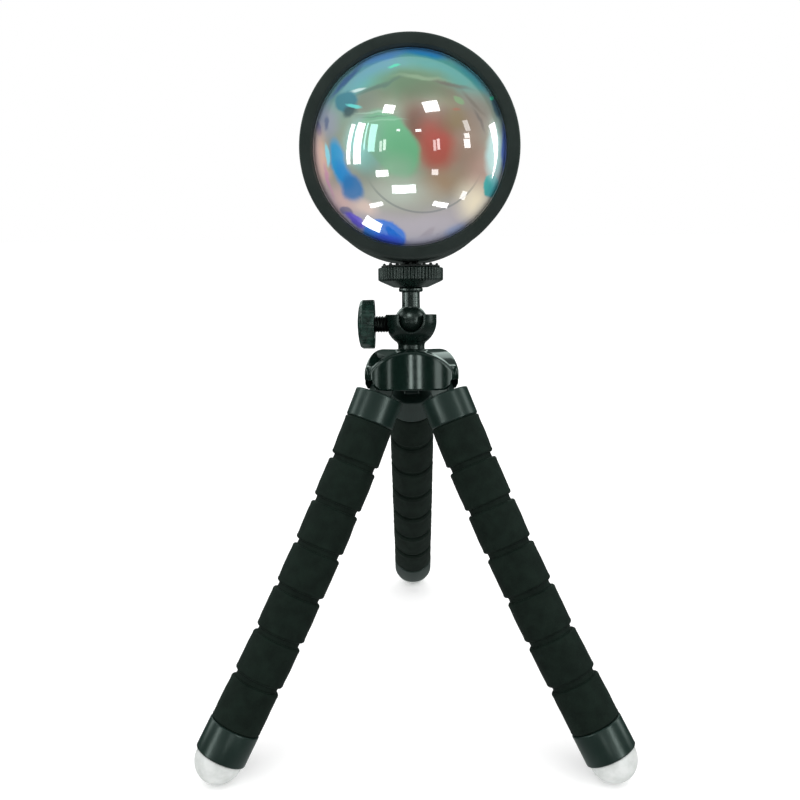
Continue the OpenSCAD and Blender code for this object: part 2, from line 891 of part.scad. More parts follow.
lamp_housing();
front_bezel();
front_lens();
lens_seal();
filter_holder();
dichroic_filter();
led_reflector();
led_emitter();
led_board();
thermal_pad();
heat_sink();
board_screws();
led_leads();
driver_board();
rear_cover();
rear_screws();
cable_gland();
mount_insert();
mount_screw();
ball_stem();
shoe_wheel();
shoe_pad();
ball_cup();
clamp_pad();
knob_screw();
lock_knob();
hub();
hub_screw();
hinge_pins();
leg_head(LEFT);  // left_leg_head
foam(LEFT, 0);  // left_foam_1
foam(LEFT, 1);  // left_foam_2
foam(LEFT, 2);  // left_foam_3
foam(LEFT, 3);  // left_foam_4
core(LEFT);  // left_core
ferrule(LEFT);  // left_ferrule
foot(LEFT);  // left_foot
leg_head(RIGHT);  // right_leg_head
foam(RIGHT, 0);  // right_foam_1
foam(RIGHT, 1);  // right_foam_2
foam(RIGHT, 2);  // right_foam_3
foam(RIGHT, 3);  // right_foam_4
core(RIGHT);  // right_core
ferrule(RIGHT);  // right_ferrule
foot(RIGHT);  // right_foot
leg_head(REAR);  // rear_leg_head
foam(REAR, 0);  // rear_foam_1
foam(REAR, 1);  // rear_foam_2
foam(REAR, 2);  // rear_foam_3
foam(REAR, 3);  // rear_foam_4
core(REAR);  // rear_core
ferrule(REAR);  // rear_ferrule
foot(REAR);  // rear_foot
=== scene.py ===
"""Dresses a projection lamp on a small tripod with three bendable foam legs.

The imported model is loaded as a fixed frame. Sizes below are in millimetres, as in the
part's source, and meshes are written in metres in the frame's own coordinates.

Three local frames are used, the same as in the part's source:
  COLUMN           the hub's own axis, z = 0 at the hub's lower edge, front is -Y
  HEAD             the lamp's optical axis, z forwards from the mounting screw, y up
  section(leg, k)  part k of a leg, z down the leg from the joint it turns on
"""
import json
import math

import bmesh
import bpy
import numpy as np
from mathutils import Matrix, Vector


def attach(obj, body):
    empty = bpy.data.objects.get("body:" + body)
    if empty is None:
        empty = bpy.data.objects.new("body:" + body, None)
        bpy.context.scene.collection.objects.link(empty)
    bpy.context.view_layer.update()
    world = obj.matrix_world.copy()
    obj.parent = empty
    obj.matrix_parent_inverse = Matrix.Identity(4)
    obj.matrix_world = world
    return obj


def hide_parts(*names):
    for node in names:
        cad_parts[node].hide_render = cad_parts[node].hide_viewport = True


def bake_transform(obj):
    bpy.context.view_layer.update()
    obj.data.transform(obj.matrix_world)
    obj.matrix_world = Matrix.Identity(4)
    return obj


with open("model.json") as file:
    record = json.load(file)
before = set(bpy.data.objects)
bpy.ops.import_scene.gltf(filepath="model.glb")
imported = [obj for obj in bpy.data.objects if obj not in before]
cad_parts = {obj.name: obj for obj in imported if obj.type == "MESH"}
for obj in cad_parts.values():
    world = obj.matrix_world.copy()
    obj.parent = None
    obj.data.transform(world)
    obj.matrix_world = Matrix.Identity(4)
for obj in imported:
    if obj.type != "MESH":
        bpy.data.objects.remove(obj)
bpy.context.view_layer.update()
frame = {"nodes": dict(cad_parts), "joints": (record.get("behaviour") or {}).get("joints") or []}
joints = {joint["name"]: joint for joint in frame["joints"]}

MM = 0.001

# ---- lamp head, along its optical axis
BEZEL_R = 37.5
OPENING_R = 32.9
HOUSING_R = 36.8
SEAM_DEPTH = 0.35
HEAD_FRONT = 18.9
LIP_BACK = 16.4
LENS_BACK = 14.2
LENS_R = 35.1
DOME_R = 32.7
DOME_H = 17.0
DOME_SPHERE_R = (DOME_R ** 2 + DOME_H ** 2) / (2 * DOME_H)
BEZEL_BACK = 7.4
BEZEL_BEVEL = 0.35
COLLAR_R = 35.4
RIM_FRONT = 13.2
INNER_R = 33.2
SINK_BORE_R = 34.4
SHOULDER = -7.4
COVER_FRONT = -21.0
COVER_FACE = -23.1
POST_CIRCLE = 24.0
POST_ANGLES = (90, 210, 330)
GLAND_Y = -23.5
INSERT_R = 4.4

# ---- ball head, up the column from the hub's lower edge
HUB_H = 14.2
BALL_Z = 24.5
BALL_R = 6.0
CAVITY_R = 6.05
CUP_R = 9.4
CUP_RIM = 2.5
NECK_R = 4.9
NOTCH_R = 4.3
NOTCH_Z = BALL_Z - 3.9 + NOTCH_R
CLAMP_Z = 23.5
CLAMP_SCREW_R = 3.1
KNOB_X = 13.4
KNOB_R = 9.0
KNOB_T = 5.2
KNOB_DOME = 1.1
STEM_R = 3.3
FLANGE_R = 4.4
STEM_TOP = 35.2
FLANGE_TOP = 36.8
SCREW_R = 3.175
WHEEL_Z = 36.85
WHEEL_R = 11.9
WHEEL_CONE_R = 6.3
WHEEL_CONE_H = 2.3
WHEEL_H = 7.0
PAD_Z = 43.85
PAD_T = 0.8
PAD_RIB = 0.7
HEAD_Z = 83.25

# ---- hub
LOBE_HALF_W = 15.3
LOBE_REACH = 13.5
LOBE_ARCH_R = 20.0
LOBE_BOW_R = 50.0
SEAT_RISE = 0.15
VALLEY_AT = 14.0
VALLEY_R = 4.0
VALLEY_DROP = 5.5
WIDEST_SPLAY = 44.0
PIN_R = 10.8
PIN_Z = 3.9

# ---- legs
LEGS = ("left", "right", "rear")
AZIMUTH = {"left": -60, "right": 60, "rear": 180}
SPLAY = {"left": 24.4, "right": 24.4, "rear": 38.0}
CURL = {"left": 2.0, "right": 2.0, "rear": 2.3}
COLLAR_START = 6.7
COLLAR_END = 17.2
LEG_COLLAR_R = 8.85
TAB_W = 5.0
TAB_T = 7.2
PIN_BORE_R = 1.15
FOAM_R = 9.0
PITCH = 16.4
GROOVE_HALF = 1.0
GROOVE_DEPTH = 1.1
FOAM_EDGE = 1.0
SECTION_LEN = (33.0, 32.8, 32.8)
FERRULE_START = 32.8
FERRULE_END = 43.7
FERRULE_R = 9.05
FOOT_R = 8.25
FOOT_SINK = 0.9
CORE_R = 2.5


# -------- frames

def turn(degrees, axis):
    return Matrix.Rotation(math.radians(degrees), 4, axis)


def shift(x, y, z):
    return Matrix.Translation((x, y, z))


up = Vector(joints["lamp_turn"]["axis"]).normalized()
ball_centre = Vector(joints["ball_tilt"]["pos_m"]) / MM
LEAN = math.degrees(math.atan2(up.y, up.z))
COLUMN = Matrix.Translation(ball_centre - up * BALL_Z) @ turn(-LEAN, "X")
HEAD = COLUMN @ shift(0, 0, HEAD_Z) @ turn(90, "X")


def joint_at(leg, k):
    """Distance from the hub's axis, and height, of the joint that section k turns on."""
    out, height = PIN_R, PIN_Z
    for i in range(k):
        angle = math.radians(SPLAY[leg] + i * CURL[leg])
        out += SECTION_LEN[i] * math.sin(angle)
        height -= SECTION_LEN[i] * math.cos(angle)
    return out, height


def section(leg, k):
    out, height = joint_at(leg, k)
    splay = SPLAY[leg] + k * CURL[leg]
    return COLUMN @ turn(AZIMUTH[leg], "Z") @ shift(0, -out, height) @ turn(180 - splay, "X")


# -------- mesh helpers

def add_object(name, data):
    made = bpy.data.objects.new(name, data)
    bpy.context.collection.objects.link(made)
    return made


def mesh_data(name, mesh, place):
    """Mesh data in metres, from local (verts, faces) in millimetres."""
    verts, faces = mesh
    data = bpy.data.meshes.new(name)
    data.from_pydata([(place @ Vector(v)) * MM for v in verts], [], faces)
    return data


def piece(name, mesh, place, look, body, stands_for=(), crease=32):
    """A mesh object from local millimetres, placed by a frame, finished and riding on a body."""
    data = mesh_data(name, mesh, place)
    data.validate()
    shape = bmesh.new()
    shape.from_mesh(data)
    bmesh.ops.remove_doubles(shape, verts=shape.verts, dist=1e-7)
    bmesh.ops.recalc_face_normals(shape, faces=shape.faces)
    for face in shape.faces:
        face.smooth = True
    for edge in shape.edges:
        edge.smooth = len(edge.link_faces) == 2 and edge.calc_face_angle(0) < math.radians(crease)
    shape.to_mesh(data)
    shape.free()
    data.materials.append(MATERIALS[look])
    made = add_object(name, data)
    if stands_for:
        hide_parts(*stands_for)
    if body:
        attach(made, body)
    return made


def rounded(corners, n=5):
    """An outline from corners (r, z, fillet radius), with each corner rounded."""
    outline = []
    count = len(corners)
    for i, (x, y, radius) in enumerate(corners):
        corner = Vector((x, y))
        if radius <= 0:
            outline.append((x, y))
            continue
        a = Vector(corners[i - 1][:2]) - corner
        b = Vector(corners[(i + 1) % count][:2]) - corner
        half = a.angle(b) / 2
        reach = min(radius / math.tan(half), 0.49 * a.length, 0.49 * b.length)
        radius = reach * math.tan(half)
        centre = corner + (a.normalized() + b.normalized()).normalized() * radius / math.sin(half)
        first = corner + a.normalized() * reach - centre
        last = corner + b.normalized() * reach - centre
        start = math.atan2(first.y, first.x)
        sweep = math.atan2(last.y, last.x) - start
        sweep = (sweep + math.pi) % (2 * math.pi) - math.pi
        for k in range(n + 1):
            angle = start + sweep * k / n
            outline.append((centre.x + radius * math.cos(angle), centre.y + radius * math.sin(angle)))
    return outline


def arc(cx, cy, r, start, end, n):
    """Points of an arc in the (r, z) plane, by angles in degrees."""
    angles = [math.radians(start + (end - start) * i / n) for i in range(n + 1)]
    return [(cx + r * math.cos(a), cy + r * math.sin(a)) for a in angles]


def lathe(outline, steps=128, reshape=None):
    """An outline of (radius, z) turned about Z. It closes on itself, or on the axis.

    reshape(radius, z, angle) gives the radius at each point, for knurls and unevenness.
    """
    verts, rows = [], []
    for r, z in outline:
        if r < 1e-6:
            rows.append([len(verts)] * steps)
            verts.append((0, 0, z))
            continue
        row = []
        for i in range(steps):
            angle = 2 * math.pi * i / steps
            radius = reshape(r, z, angle) if reshape else r
            row.append(len(verts))
            verts.append((radius * math.cos(angle), radius * math.sin(angle), z))
        rows.append(row)
    if outline[0][0] > 1e-6:
        rows.append(rows[0])
    faces = []
    for low, high in zip(rows, rows[1:]):
        for i in range(steps):
            j = (i + 1) % steps
            corners = [low[i], low[j], high[j], high[i]]
            face = [c for k, c in enumerate(corners) if c != corners[k - 1]]
            if len(face) > 2:
                faces.append(face)
    return verts, faces


def joined(*parts):
    """Several (verts, faces) as one."""
    verts, faces = [], []
    for more_verts, more_faces in parts:
        base = len(verts)
        verts += list(more_verts)
        faces += [[base + i for i in face] for face in more_faces]
    return verts, faces


def along_x(mesh, z=0.0):
    """Turns a mesh made about Z to lie about a line along X at height z; its +Z becomes +X."""
    verts, faces = mesh
    return [(c, b, z - a) for a, b, c in verts], faces


def thread(radius, z0, z1, pitch, depth, bevel=0.6, steps=48):
    """A threaded rod: a helical groove in a cylinder, with bevelled ends."""
    rows = max(int((z1 - z0) / pitch * 8), 2)
    outline = [(0, z0)] + [(radius, z0 + (z1 - z0) * i / rows) for i in range(rows + 1)] + [(0, z1)]

    def groove(r, z, angle):
        phase = (z / pitch - angle / (2 * math.pi)) % 1
        cut = depth * min(1.0, max(0.0, 1.35 * (1 - abs(2 * phase - 1)) - 0.1))
        ends = max(0.0, bevel - min(z - z0, z1 - z))
        return r - max(cut, ends)

    return lathe(outline, steps, groove)


# -------- solids from distances

def cut_by(*distances, fillet=0.3):
    """What lies in all of the shapes, with its outer edges rounded."""
    reach = sum(np.maximum(d + fillet, 0) ** 2 for d in distances)
    inner = distances[0]
    for d in distances[1:]:
        inner = np.maximum(inner, d)
    return np.minimum(-fillet, inner) + np.sqrt(reach)


def grown(*distances, fillet=0.3):
    """What lies in any of the shapes, with its inner corners filled."""
    reach = sum(np.maximum(fillet - d, 0) ** 2 for d in distances)
    outer = distances[0]
    for d in distances[1:]:
        outer = np.minimum(outer, d)
    return np.maximum(fillet, outer) - np.sqrt(reach)


def block(x, y, z, low, high, fillet=0.3):
    middle = [(a + b) / 2 for a, b in zip(low, high)]
    half = [(b - a) / 2 for a, b in zip(low, high)]
    sides = [np.abs(v - m) - h for v, m, h in zip((x, y, z), middle, half)]
    return cut_by(*sides, fillet=fillet)


def length(a, b):
    return np.sqrt(a * a + b * b)


def rod(a, b, radius):
    return length(a, b) - radius


def spun(x, y, degrees):
    """Coordinates in a frame turned about Z by that angle."""
    angle = math.radians(degrees)
    return x * math.cos(angle) + y * math.sin(angle), y * math.cos(angle) - x * math.sin(angle)


def skin(field, reach, z_low, z_high, step):
    """Vertices and quads on the zero level of a distance field, by surface nets."""
    low = (-reach, -reach, z_low)
    high = (reach, reach, z_high)
    axes = [np.arange(a, b + step, step) for a, b in zip(low, high)]
    x, y, z = np.meshgrid(*axes, indexing="ij")
    values = field(x, y, z)
    inside = values < 0
    cells = [n - 1 for n in values.shape]
    total = np.zeros(cells + [3])
    count = np.zeros(cells)
    crossings = []
    for axis in range(3):
        others = [i for i in range(3) if i != axis]
        near = np.take(values, range(cells[axis]), axis)
        far = np.take(values, range(1, cells[axis] + 1), axis)
        crossed = (near < 0) != (far < 0)
        share = np.where(crossed, near / np.where(crossed, near - far, 1), 0)
        crossings.append(crossed)
        for da in (0, 1):
            for db in (0, 1):
                part = [slice(None)] * 3
                part[others[0]] = slice(da, cells[others[0]] + da)
                part[others[1]] = slice(db, cells[others[1]] + db)
                hit = crossed[tuple(part)]
                count += hit
                total[..., axis] += np.where(hit, share[tuple(part)], 0)
                total[..., others[0]] += hit * da
                total[..., others[1]] += hit * db
    used = count > 0
    index = np.full(cells, -1)
    index[used] = np.arange(used.sum())
    corner = np.stack(np.nonzero(used), -1)
    points = (corner + total[used] / count[used][:, None]) * step + np.array(low)
    quads = []
    for axis in range(3):
        a, b = [i for i in range(3) if i != axis]
        crossed = crossings[axis]
        spots = np.stack(np.nonzero(crossed), -1)
        keep = (spots[:, a] > 0) & (spots[:, b] > 0)
        keep &= (spots[:, a] < cells[a]) & (spots[:, b] < cells[b])
        spots = spots[keep]
        around = []
        for da, db in ((0, 0), (1, 0), (1, 1), (0, 1)):
            at = spots.copy()
            at[:, a] -= da
            at[:, b] -= db
            around.append(index[tuple(at.T)])
        quad = np.stack(around, -1)
        flip = inside[tuple(spots.T)] == (axis == 1)
        quad[flip] = quad[flip][:, ::-1]
        quads.append(quad)
    for _ in range(3):
        here = field(*points.T)
        slope = np.stack([(field(*(points + d).T) - here) / 1e-4 for d in np.eye(3) * 1e-4], -1)
        size = np.maximum((slope ** 2).sum(-1), 0.25)
        move = -slope * (here / size)[:, None]
        points = points + np.clip(move, -step / 2, step / 2)
    return points.tolist(), np.concatenate(quads).tolist()


# -------- materials

def plug(tree, socket, value):
    """Links another socket to this one, or sets its value."""
    if isinstance(value, bpy.types.NodeSocket):
        tree.links.new(value, socket)
    else:
        socket.default_value = value


def feed(tree, made, **inputs):
    """Gives a node's inputs their links or values."""
    for key, value in inputs.items():
        plug(tree, made.inputs[key.replace("_", " ")], value)


def new_material(name, **inputs):
    """A material with its uniform values set on the shader's own sockets."""
    made = bpy.data.materials.new(name)
    made.use_nodes = True
    tree = made.node_tree
    shader = tree.nodes["Principled BSDF"]
    feed(tree, shader, **inputs)
    return made, tree, shader


def node(tree, kind, settings=None, **inputs):
    made = tree.nodes.new("ShaderNode" + kind)
    for key, value in (settings or {}).items():
        setattr(made, key, value)
    feed(tree, made, **inputs)
    return made


def calc(tree, operation, *values):
    """The result of a Math node on sockets and numbers."""
    made = node(tree, "Math", {"operation": operation})
    for socket, value in zip(made.inputs, values):
        plug(tree, socket, value)
    return made.outputs[0]


def vector_calc(tree, operation, *values):
    """The result of a Vector Math node on sockets and vectors."""
    made = node(tree, "VectorMath", {"operation": operation})
    for socket, value in zip(made.inputs, values):
        plug(tree, socket, value)
    return made.outputs["Value" if operation == "LENGTH" else "Vector"]


def object_point(tree):
    return node(tree, "TexCoord").outputs["Object"]


def noise(tree, point, size, detail=3.0, rough=0.55):
    """Noise with features about that many millimetres across, from 0 to 1."""
    return node(tree, "TexNoise", Vector=point, Scale=1 / (size * MM), Detail=detail,
                Roughness=rough).outputs[0]


def remap(tree, value, low, high, to_low=0.0, to_high=1.0, smooth=False):
    settings = {"interpolation_type": "SMOOTHSTEP"} if smooth else None
    made = node(tree, "MapRange", settings, Value=value, From_Min=low, From_Max=high,
                To_Min=to_low, To_Max=to_high)
    return made.outputs["Result"]


def blend_colour(tree, factor, below, above):
    made = node(tree, "Mix", {"data_type": "RGBA"})
    colours = [(*value, 1) if isinstance(value, tuple) else value for value in (below, above)]
    for number, value in zip((0, 6, 7), (factor, *colours)):
        plug(tree, made.inputs[number], value)
    return made.outputs[2]


def bump(tree, shader, height, depth, strength=1.0):
    """Bump from a height of 0 to 1 that stands for that many millimetres."""
    made = node(tree, "Bump", Height=height, Distance=depth * MM, Strength=strength)
    feed(tree, shader, Normal=made.outputs["Normal"])


def moulded(name, dark, light, rough, patch=6.0, grain=0.12, grain_depth=0.004, swing=0.08):
    """Moulded plastic or rubber: its colour and gloss drift a little, over a fine grain."""
    made, tree, shader = new_material(name)
    point = object_point(tree)
    tone = remap(tree, noise(tree, point, patch), 0.35, 0.65)
    gloss = remap(tree, noise(tree, point, patch * 0.3), 0.3, 0.7, rough - swing, rough + swing)
    feed(tree, shader, Base_Color=blend_colour(tree, tone, dark, light), Roughness=gloss)
    bump(tree, shader, noise(tree, point, grain, 4.0, 0.6), grain_depth)
    return made


def metal(name, dark, light, rough, streak=0.4):
    """Machined or drawn metal, with fine marks that run one way."""
    made, tree, shader = new_material(name, Metallic=1.0)
    stretched = node(tree, "Mapping", Vector=object_point(tree), Scale=(1, 1, 14)).outputs[0]
    marks = noise(tree, stretched, streak, 4.0)
    gloss = remap(tree, marks, 0.3, 0.7, rough - 0.08, rough + 0.08)
    feed(tree, shader, Base_Color=blend_colour(tree, marks, dark, light), Roughness=gloss)
    bump(tree, shader, marks, 0.004)
    return made


def foam_material():
    """Closed-cell foam in a knitted skin: a fine weave over soft dents, with a dusty sheen."""
    made, tree, shader = new_material("foam", Sheen_Weight=0.03, Sheen_Roughness=0.4, IOR=1.22,
                                      Sheen_Tint=(0.50, 0.68, 0.58, 1))
    point = object_point(tree)
    cell_size = 0.42 * MM
    cells = node(tree, "TexVoronoi", {"feature": "SMOOTH_F1"}, Vector=point, Scale=1 / cell_size,
                 Smoothness=0.6)
    fine = noise(tree, point, 0.25, 5.0, 0.7)
    tone = remap(tree, noise(tree, point, 5.0), 0.35, 0.65)
    base = blend_colour(tree, tone, (0.0022, 0.0066, 0.0042), (0.0040, 0.0108, 0.0070))
    speck = remap(tree, fine, 0.60, 0.74)
    feed(tree, shader, Base_Color=blend_colour(tree, speck, base, (0.011, 0.018, 0.012)),
         Roughness=remap(tree, fine, 0.3, 0.7, 0.62, 0.84))
    bump(tree, shader, calc(tree, "ADD", cells.outputs["Distance"], fine), 0.05, 0.8)
    return made


def rubber_foot_material():
    """White silicone-like rubber, a little translucent, with specks of dust in the skin."""
    made, tree, shader = new_material("foot_rubber", Subsurface_Weight=0.35, Subsurface_Scale=0.003,
                                      Subsurface_Radius=(1.0, 0.95, 0.9))
    point = object_point(tree)
    clouds = noise(tree, point, 3.5)
    tone = remap(tree, clouds, 0.35, 0.65)
    base = blend_colour(tree, tone, (0.52, 0.54, 0.525), (0.62, 0.635, 0.625))
    speck = remap(tree, noise(tree, point, 0.7, 2.0), 0.70, 0.76, 0.0, 0.45)
    feed(tree, shader, Base_Color=blend_colour(tree, speck, base, (0.34, 0.34, 0.32)),
         Roughness=remap(tree, clouds, 0.3, 0.7, 0.38, 0.55))
    bump(tree, shader, noise(tree, point, 0.35, 4.0), 0.01)
    return made


def head_point(tree):
    """Object coordinates turned into the lamp's own frame, in millimetres."""
    back = HEAD.inverted()
    return node(tree, "Mapping", Vector=object_point(tree), Scale=(1 / MM,) * 3,
                Rotation=back.to_euler(), Location=back.translation).outputs[0]


def shade(red, green, blue):
    """A colour as it looks on screen, from 0 to 255, turned into the shader's linear values."""
    screen = [value / 255 for value in (red, green, blue)]
    return tuple(v / 12.92 if v < 0.0405 else ((v + 0.055) / 1.055) ** 2.4 for v in screen)


# Soft patches of the lens's coating, among them a few painted reflections and highlights, in millimetres
# from the lens's middle:
# x, y, half width, half height, tilt in degrees, softness, strength, colour on screen.
COATING_AND_REFLECTIONS = (
    # broad zones, from the top down
    (-12, 23, 15, 7, 32, 0.9, 0.9, (92, 150, 178)),
    (-7, 20.5, 13, 5, 16, 0.9, 0.9, (92, 170, 148)),
    (11, 25, 16, 6, -26, 0.8, 0.9, (74, 150, 148)),
    (2, 20, 13, 6, 0, 0.7, 0.9, (112, 142, 106)),
    (-12, 15, 8, 5, 12, 0.5, 0.85, (116, 114, 98)),
    (-5, 14.5, 6, 5, -20, 0.8, 0.8, (120, 130, 104)),
    (11, 17, 9, 4, -14, 0.7, 0.85, (124, 92, 78)),
    (2.5, 14, 6, 6, -50, 0.6, 0.9, (126, 94, 80)),
    (13, 13, 8, 3.6, -24, 0.8, 0.8, (136, 128, 102)),
    (22, 11, 7, 8, 25, 0.8, 0.8, (128, 106, 98)),
    (0, -3, 22, 20, 0, 0.2, 0.5, (142, 144, 124)),
    (20, -1, 8, 11, 0, 0.8, 0.8, (158, 138, 126)),
    (24, -8, 6, 8, -15, 0.8, 0.7, (184, 152, 140)),
    (-14, -1, 6, 11, 0, 0.8, 0.7, (122, 138, 132)),
    (-14.5, 1, 6.5, 8.5, 0, 0.7, 0.8, (118, 206, 200)),
    (2, 19.5, 14, 6, -6, 0.8, 0.8, (84, 106, 76)),
    (18, 0, 6, 10, 0, 0.9, 0.6, (140, 112, 96)),
    # the red side, then the green side, whose edge against it is crisp
    (5.5, 7.2, 8.5, 7.5, -30, 0.5, 0.95, (116, 76, 62)),
    (8.6, 0.2, 7.4, 9.2, 8, 0.6, 0.92, (164, 94, 82)),
    (8.8, 2, 5.6, 7.5, 10, 0.9, 0.55, (178, 78, 74)),
    (13, 9, 8, 5, -20, 0.8, 0.7, (126, 96, 78)),
    (9.5, -12, 9, 5, 14, 0.9, 0.75, (158, 126, 96)),
    (15, 8.5, 4, 4, 0, 0.9, 0.7, (132, 112, 78)),
    (-6, 1.2, 12.4, 7.4, -50, 0.16, 0.95, (108, 174, 132)),
    (-4, -7, 8, 5.6, -16, 0.9, 0.75, (142, 176, 150)),
    (-12.5, 1, 5, 11, 0, 0.8, 0.6, (124, 150, 136)),
    (-4, -14.5, 13, 5.5, 0, 0.9, 0.9, (174, 182, 170)),
    # streaks and small marks under the upper band, with a painted highlight streak and the painted
    # reflection of a shelf
    (-10, 19.6, 9, 0.8, 18, 0.8, 0.8, (72, 98, 88)),
    (-17, 18.8, 3, 0.5, 12, 0.5, 0.9, (206, 228, 226)),
    # painted highlight: a bright green streak of light on the upper band
    (-4.8, 26.3, 2, 0.6, 10, 0.6, 0.9, (92, 216, 180)),
    (13, 20.3, 8, 0.8, -12, 0.8, 0.75, (92, 74, 68)),
    (4, 22, 9, 0.8, -4, 0.8, 0.6, (140, 166, 134)),
    # painted reflection: the cyan glow around the left windows that the dome mirrors
    (21, 14, 6, 0.7, -48, 0.8, 0.7, (104, 92, 84)),
    (16.3, 15, 2.4, 1.1, -34, 0.4, 0.85, (122, 156, 112)),
    (15, 11.8, 1.6, 0.6, 0, 0.6, 0.6, (164, 96, 80)),
    (23, 8.5, 4, 0.6, -62, 0.8, 0.7, (96, 86, 84)),
    # painted reflection: these three thin lines paint a shelf mirrored in the lens's flat back
    (-11, 11, 7, 0.35, 0, 0.6, 0.6, (164, 196, 176)),
    (-10, 9.6, 6, 0.3, 0, 0.6, 0.5, (84, 118, 100)),
    (-8, 8.4, 7, 0.3, 0, 0.6, 0.5, (150, 196, 168)),
    # the rim, round from the top left
    (-20.6, 14.8, 4, 3.9, 0, 0.25, 0.9, (34, 112, 132)),
    (-19.5, 11.6, 3, 1.6, 14, 0.5, 0.9, (26, 58, 66)),
    (-17.8, 13.2, 2.6, 0.6, -12, 0.4, 0.8, (110, 220, 214)),
    (-28, 9, 4.5, 7, 12, 0.8, 0.8, (152, 154, 172)),
    (-30.6, 6.8, 1.1, 3, 6, 0.4, 0.9, (42, 66, 124)),
    (-27.8, 8.5, 0.8, 2.4, -4, 0.6, 0.7, (74, 88, 128)),
    (-31, -4, 4.2, 12, 4, 0.8, 0.95, (236, 198, 182)),
    (-24, -18, 6, 7, 35, 0.8, 0.9, (208, 176, 172)),
    (-27.6, -10, 0.7, 6, 14, 0.7, 0.7, (206, 146, 182)),
    (-23.8, -3.5, 3, 7.5, 8, 0.4, 0.92, (62, 156, 208)),
    (-21.8, -8.5, 3, 6, 22, 0.5, 0.9, (54, 138, 202)),
    (-19.2, -13, 3.8, 5, 30, 0.4, 0.9, (58, 118, 176)),
    (-27.6, -1.8, 0.9, 4, 6, 0.4, 0.9, (150, 222, 238)),
    (-15, -19.5, 5, 2.6, -20, 0.8, 0.8, (220, 196, 184)),
    (-21.5, -20.6, 2.4, 1.6, -30, 0.3, 0.8, (96, 92, 128)),
    (-18.6, -24, 4.2, 1.7, -38, 0.4, 0.9, (96, 74, 204)),
    (5, -28, 15, 5.5, 0, 0.9, 0.85, (172, 166, 174)),
    (-9, -29.4, 8, 5.8, -8, 0.14, 0.97, (48, 118, 216)),
    (-8, -31.5, 7, 3.2, -6, 0.6, 0.8, (62, 62, 210)),
    (24, -20, 7, 10, 40, 0.8, 0.9, (246, 234, 206)),
    (15.5, -28, 4.5, 2.6, 24, 0.7, 0.7, (150, 166, 204)),
    (27.4, -12.5, 2.6, 3.8, -6, 0.2, 0.95, (62, 168, 166)),
    # painted reflection: the pale glow of the tall window on the right, mirrored in the dome
    (28.6, -2, 3.4, 9.5, 0, 0.5, 0.85, (184, 224, 222)),
    (32.4, -2, 1.2, 12, 0, 0.6, 0.85, (64, 92, 190)),
    (29.3, 13, 1.8, 4.6, 24, 0.4, 0.92, (30, 62, 56)),
    (27.5, 15.8, 1, 0.7, 20, 0.3, 0.95, (84, 222, 164)),
    (21, 23.5, 8.5, 2.2, -46, 0.8, 0.8, (58, 138, 148)),
    (5, 31.4, 10, 2.2, -8, 0.6, 0.9, (42, 126, 190)),
    (-9, 30, 9, 2, 16, 0.7, 0.8, (92, 138, 196)),
    (-21, 22.5, 9, 1.3, 46, 0.7, 0.8, (70, 92, 142)),
)

# The coating lies on the lens's flat back: it shows this much higher for each millimetre of glass.
SLANT = 0.19
# How far the coating's swirls pull its patches about, in millimetres, and the scale of the swirls.
PULL = 1.7
SWIRL_SCALE = 0.11
# The lower half of this ellipse shows as a thin dark line: x, y, half width, half height.
RING = (4.6, -0.9, 20.4, 20.0)
RING_LINE = 0.016


def outwards(tree, point, x, y, half_w, half_h, tilt=0.0):
    """How far out a point lies from an ellipse's middle: 1 on its edge."""
    local = node(tree, "Mapping", {"vector_type": "TEXTURE"}, Vector=point, Location=(x, y, 0),
                 Rotation=(0, 0, math.radians(tilt)), Scale=(half_w, half_h, 1000))
    return vector_calc(tree, "LENGTH", local.outputs[0])


def swirled(tree, point):
    """Points pulled about by noise, as the coating's patches flow."""
    swirl = node(tree, "TexNoise", Vector=point, Scale=SWIRL_SCALE, Detail=4.0, Distortion=0.4)
    pull = vector_calc(tree, "MULTIPLY_ADD", swirl.outputs["Color"], (2 * PULL, 2 * PULL, 0),
                       (-PULL, -PULL, 0))
    return vector_calc(tree, "ADD", pull, point)


def coating_with_painted_reflections(tree):
    """The colour of the rainbow coating, with its painted reflections and highlights: soft zones that flow
    into each other, and a thin ring line.
    """
    place = node(tree, "SeparateXYZ", Vector=head_point(tree)).outputs
    raised = calc(tree, "MULTIPLY_ADD", place["Z"], SLANT, -SLANT * LIP_BACK)
    seen_at = calc(tree, "ADD", raised, place["Y"])
    point = node(tree, "CombineXYZ", X=place["X"], Y=seen_at).outputs[0]
    flow = swirled(tree, point)
    height = node(tree, "SeparateXYZ", Vector=flow).outputs["Y"]
    rise = remap(tree, height, -30, -4)
    lower = blend_colour(tree, rise, shade(176, 168, 180), shade(146, 144, 126))
    colour = blend_colour(tree, remap(tree, height, -2, 20), lower, shade(112, 158, 144))
    for x, y, half_w, half_h, tilt, soft, strength, patch in COATING_AND_REFLECTIONS:
        far = outwards(tree, flow, x, y, half_w, half_h, tilt)
        share = remap(tree, far, 1 - soft, 1 + soft * 0.5, strength, 0.0, smooth=True)
        colour = blend_colour(tree, share, colour, shade(*patch))
    on_line = calc(tree, "COMPARE", outwards(tree, point, *RING), 1.0, RING_LINE)
    line = calc(tree, "MULTIPLY", on_line, remap(tree, height, -16, -8, 0.5, 0.0, smooth=True))
    lined = blend_colour(tree, line, colour, shade(92, 100, 104))
    return node(tree, "HueSaturation", Color=lined, Saturation=1.1, Value=0.87).outputs[0]


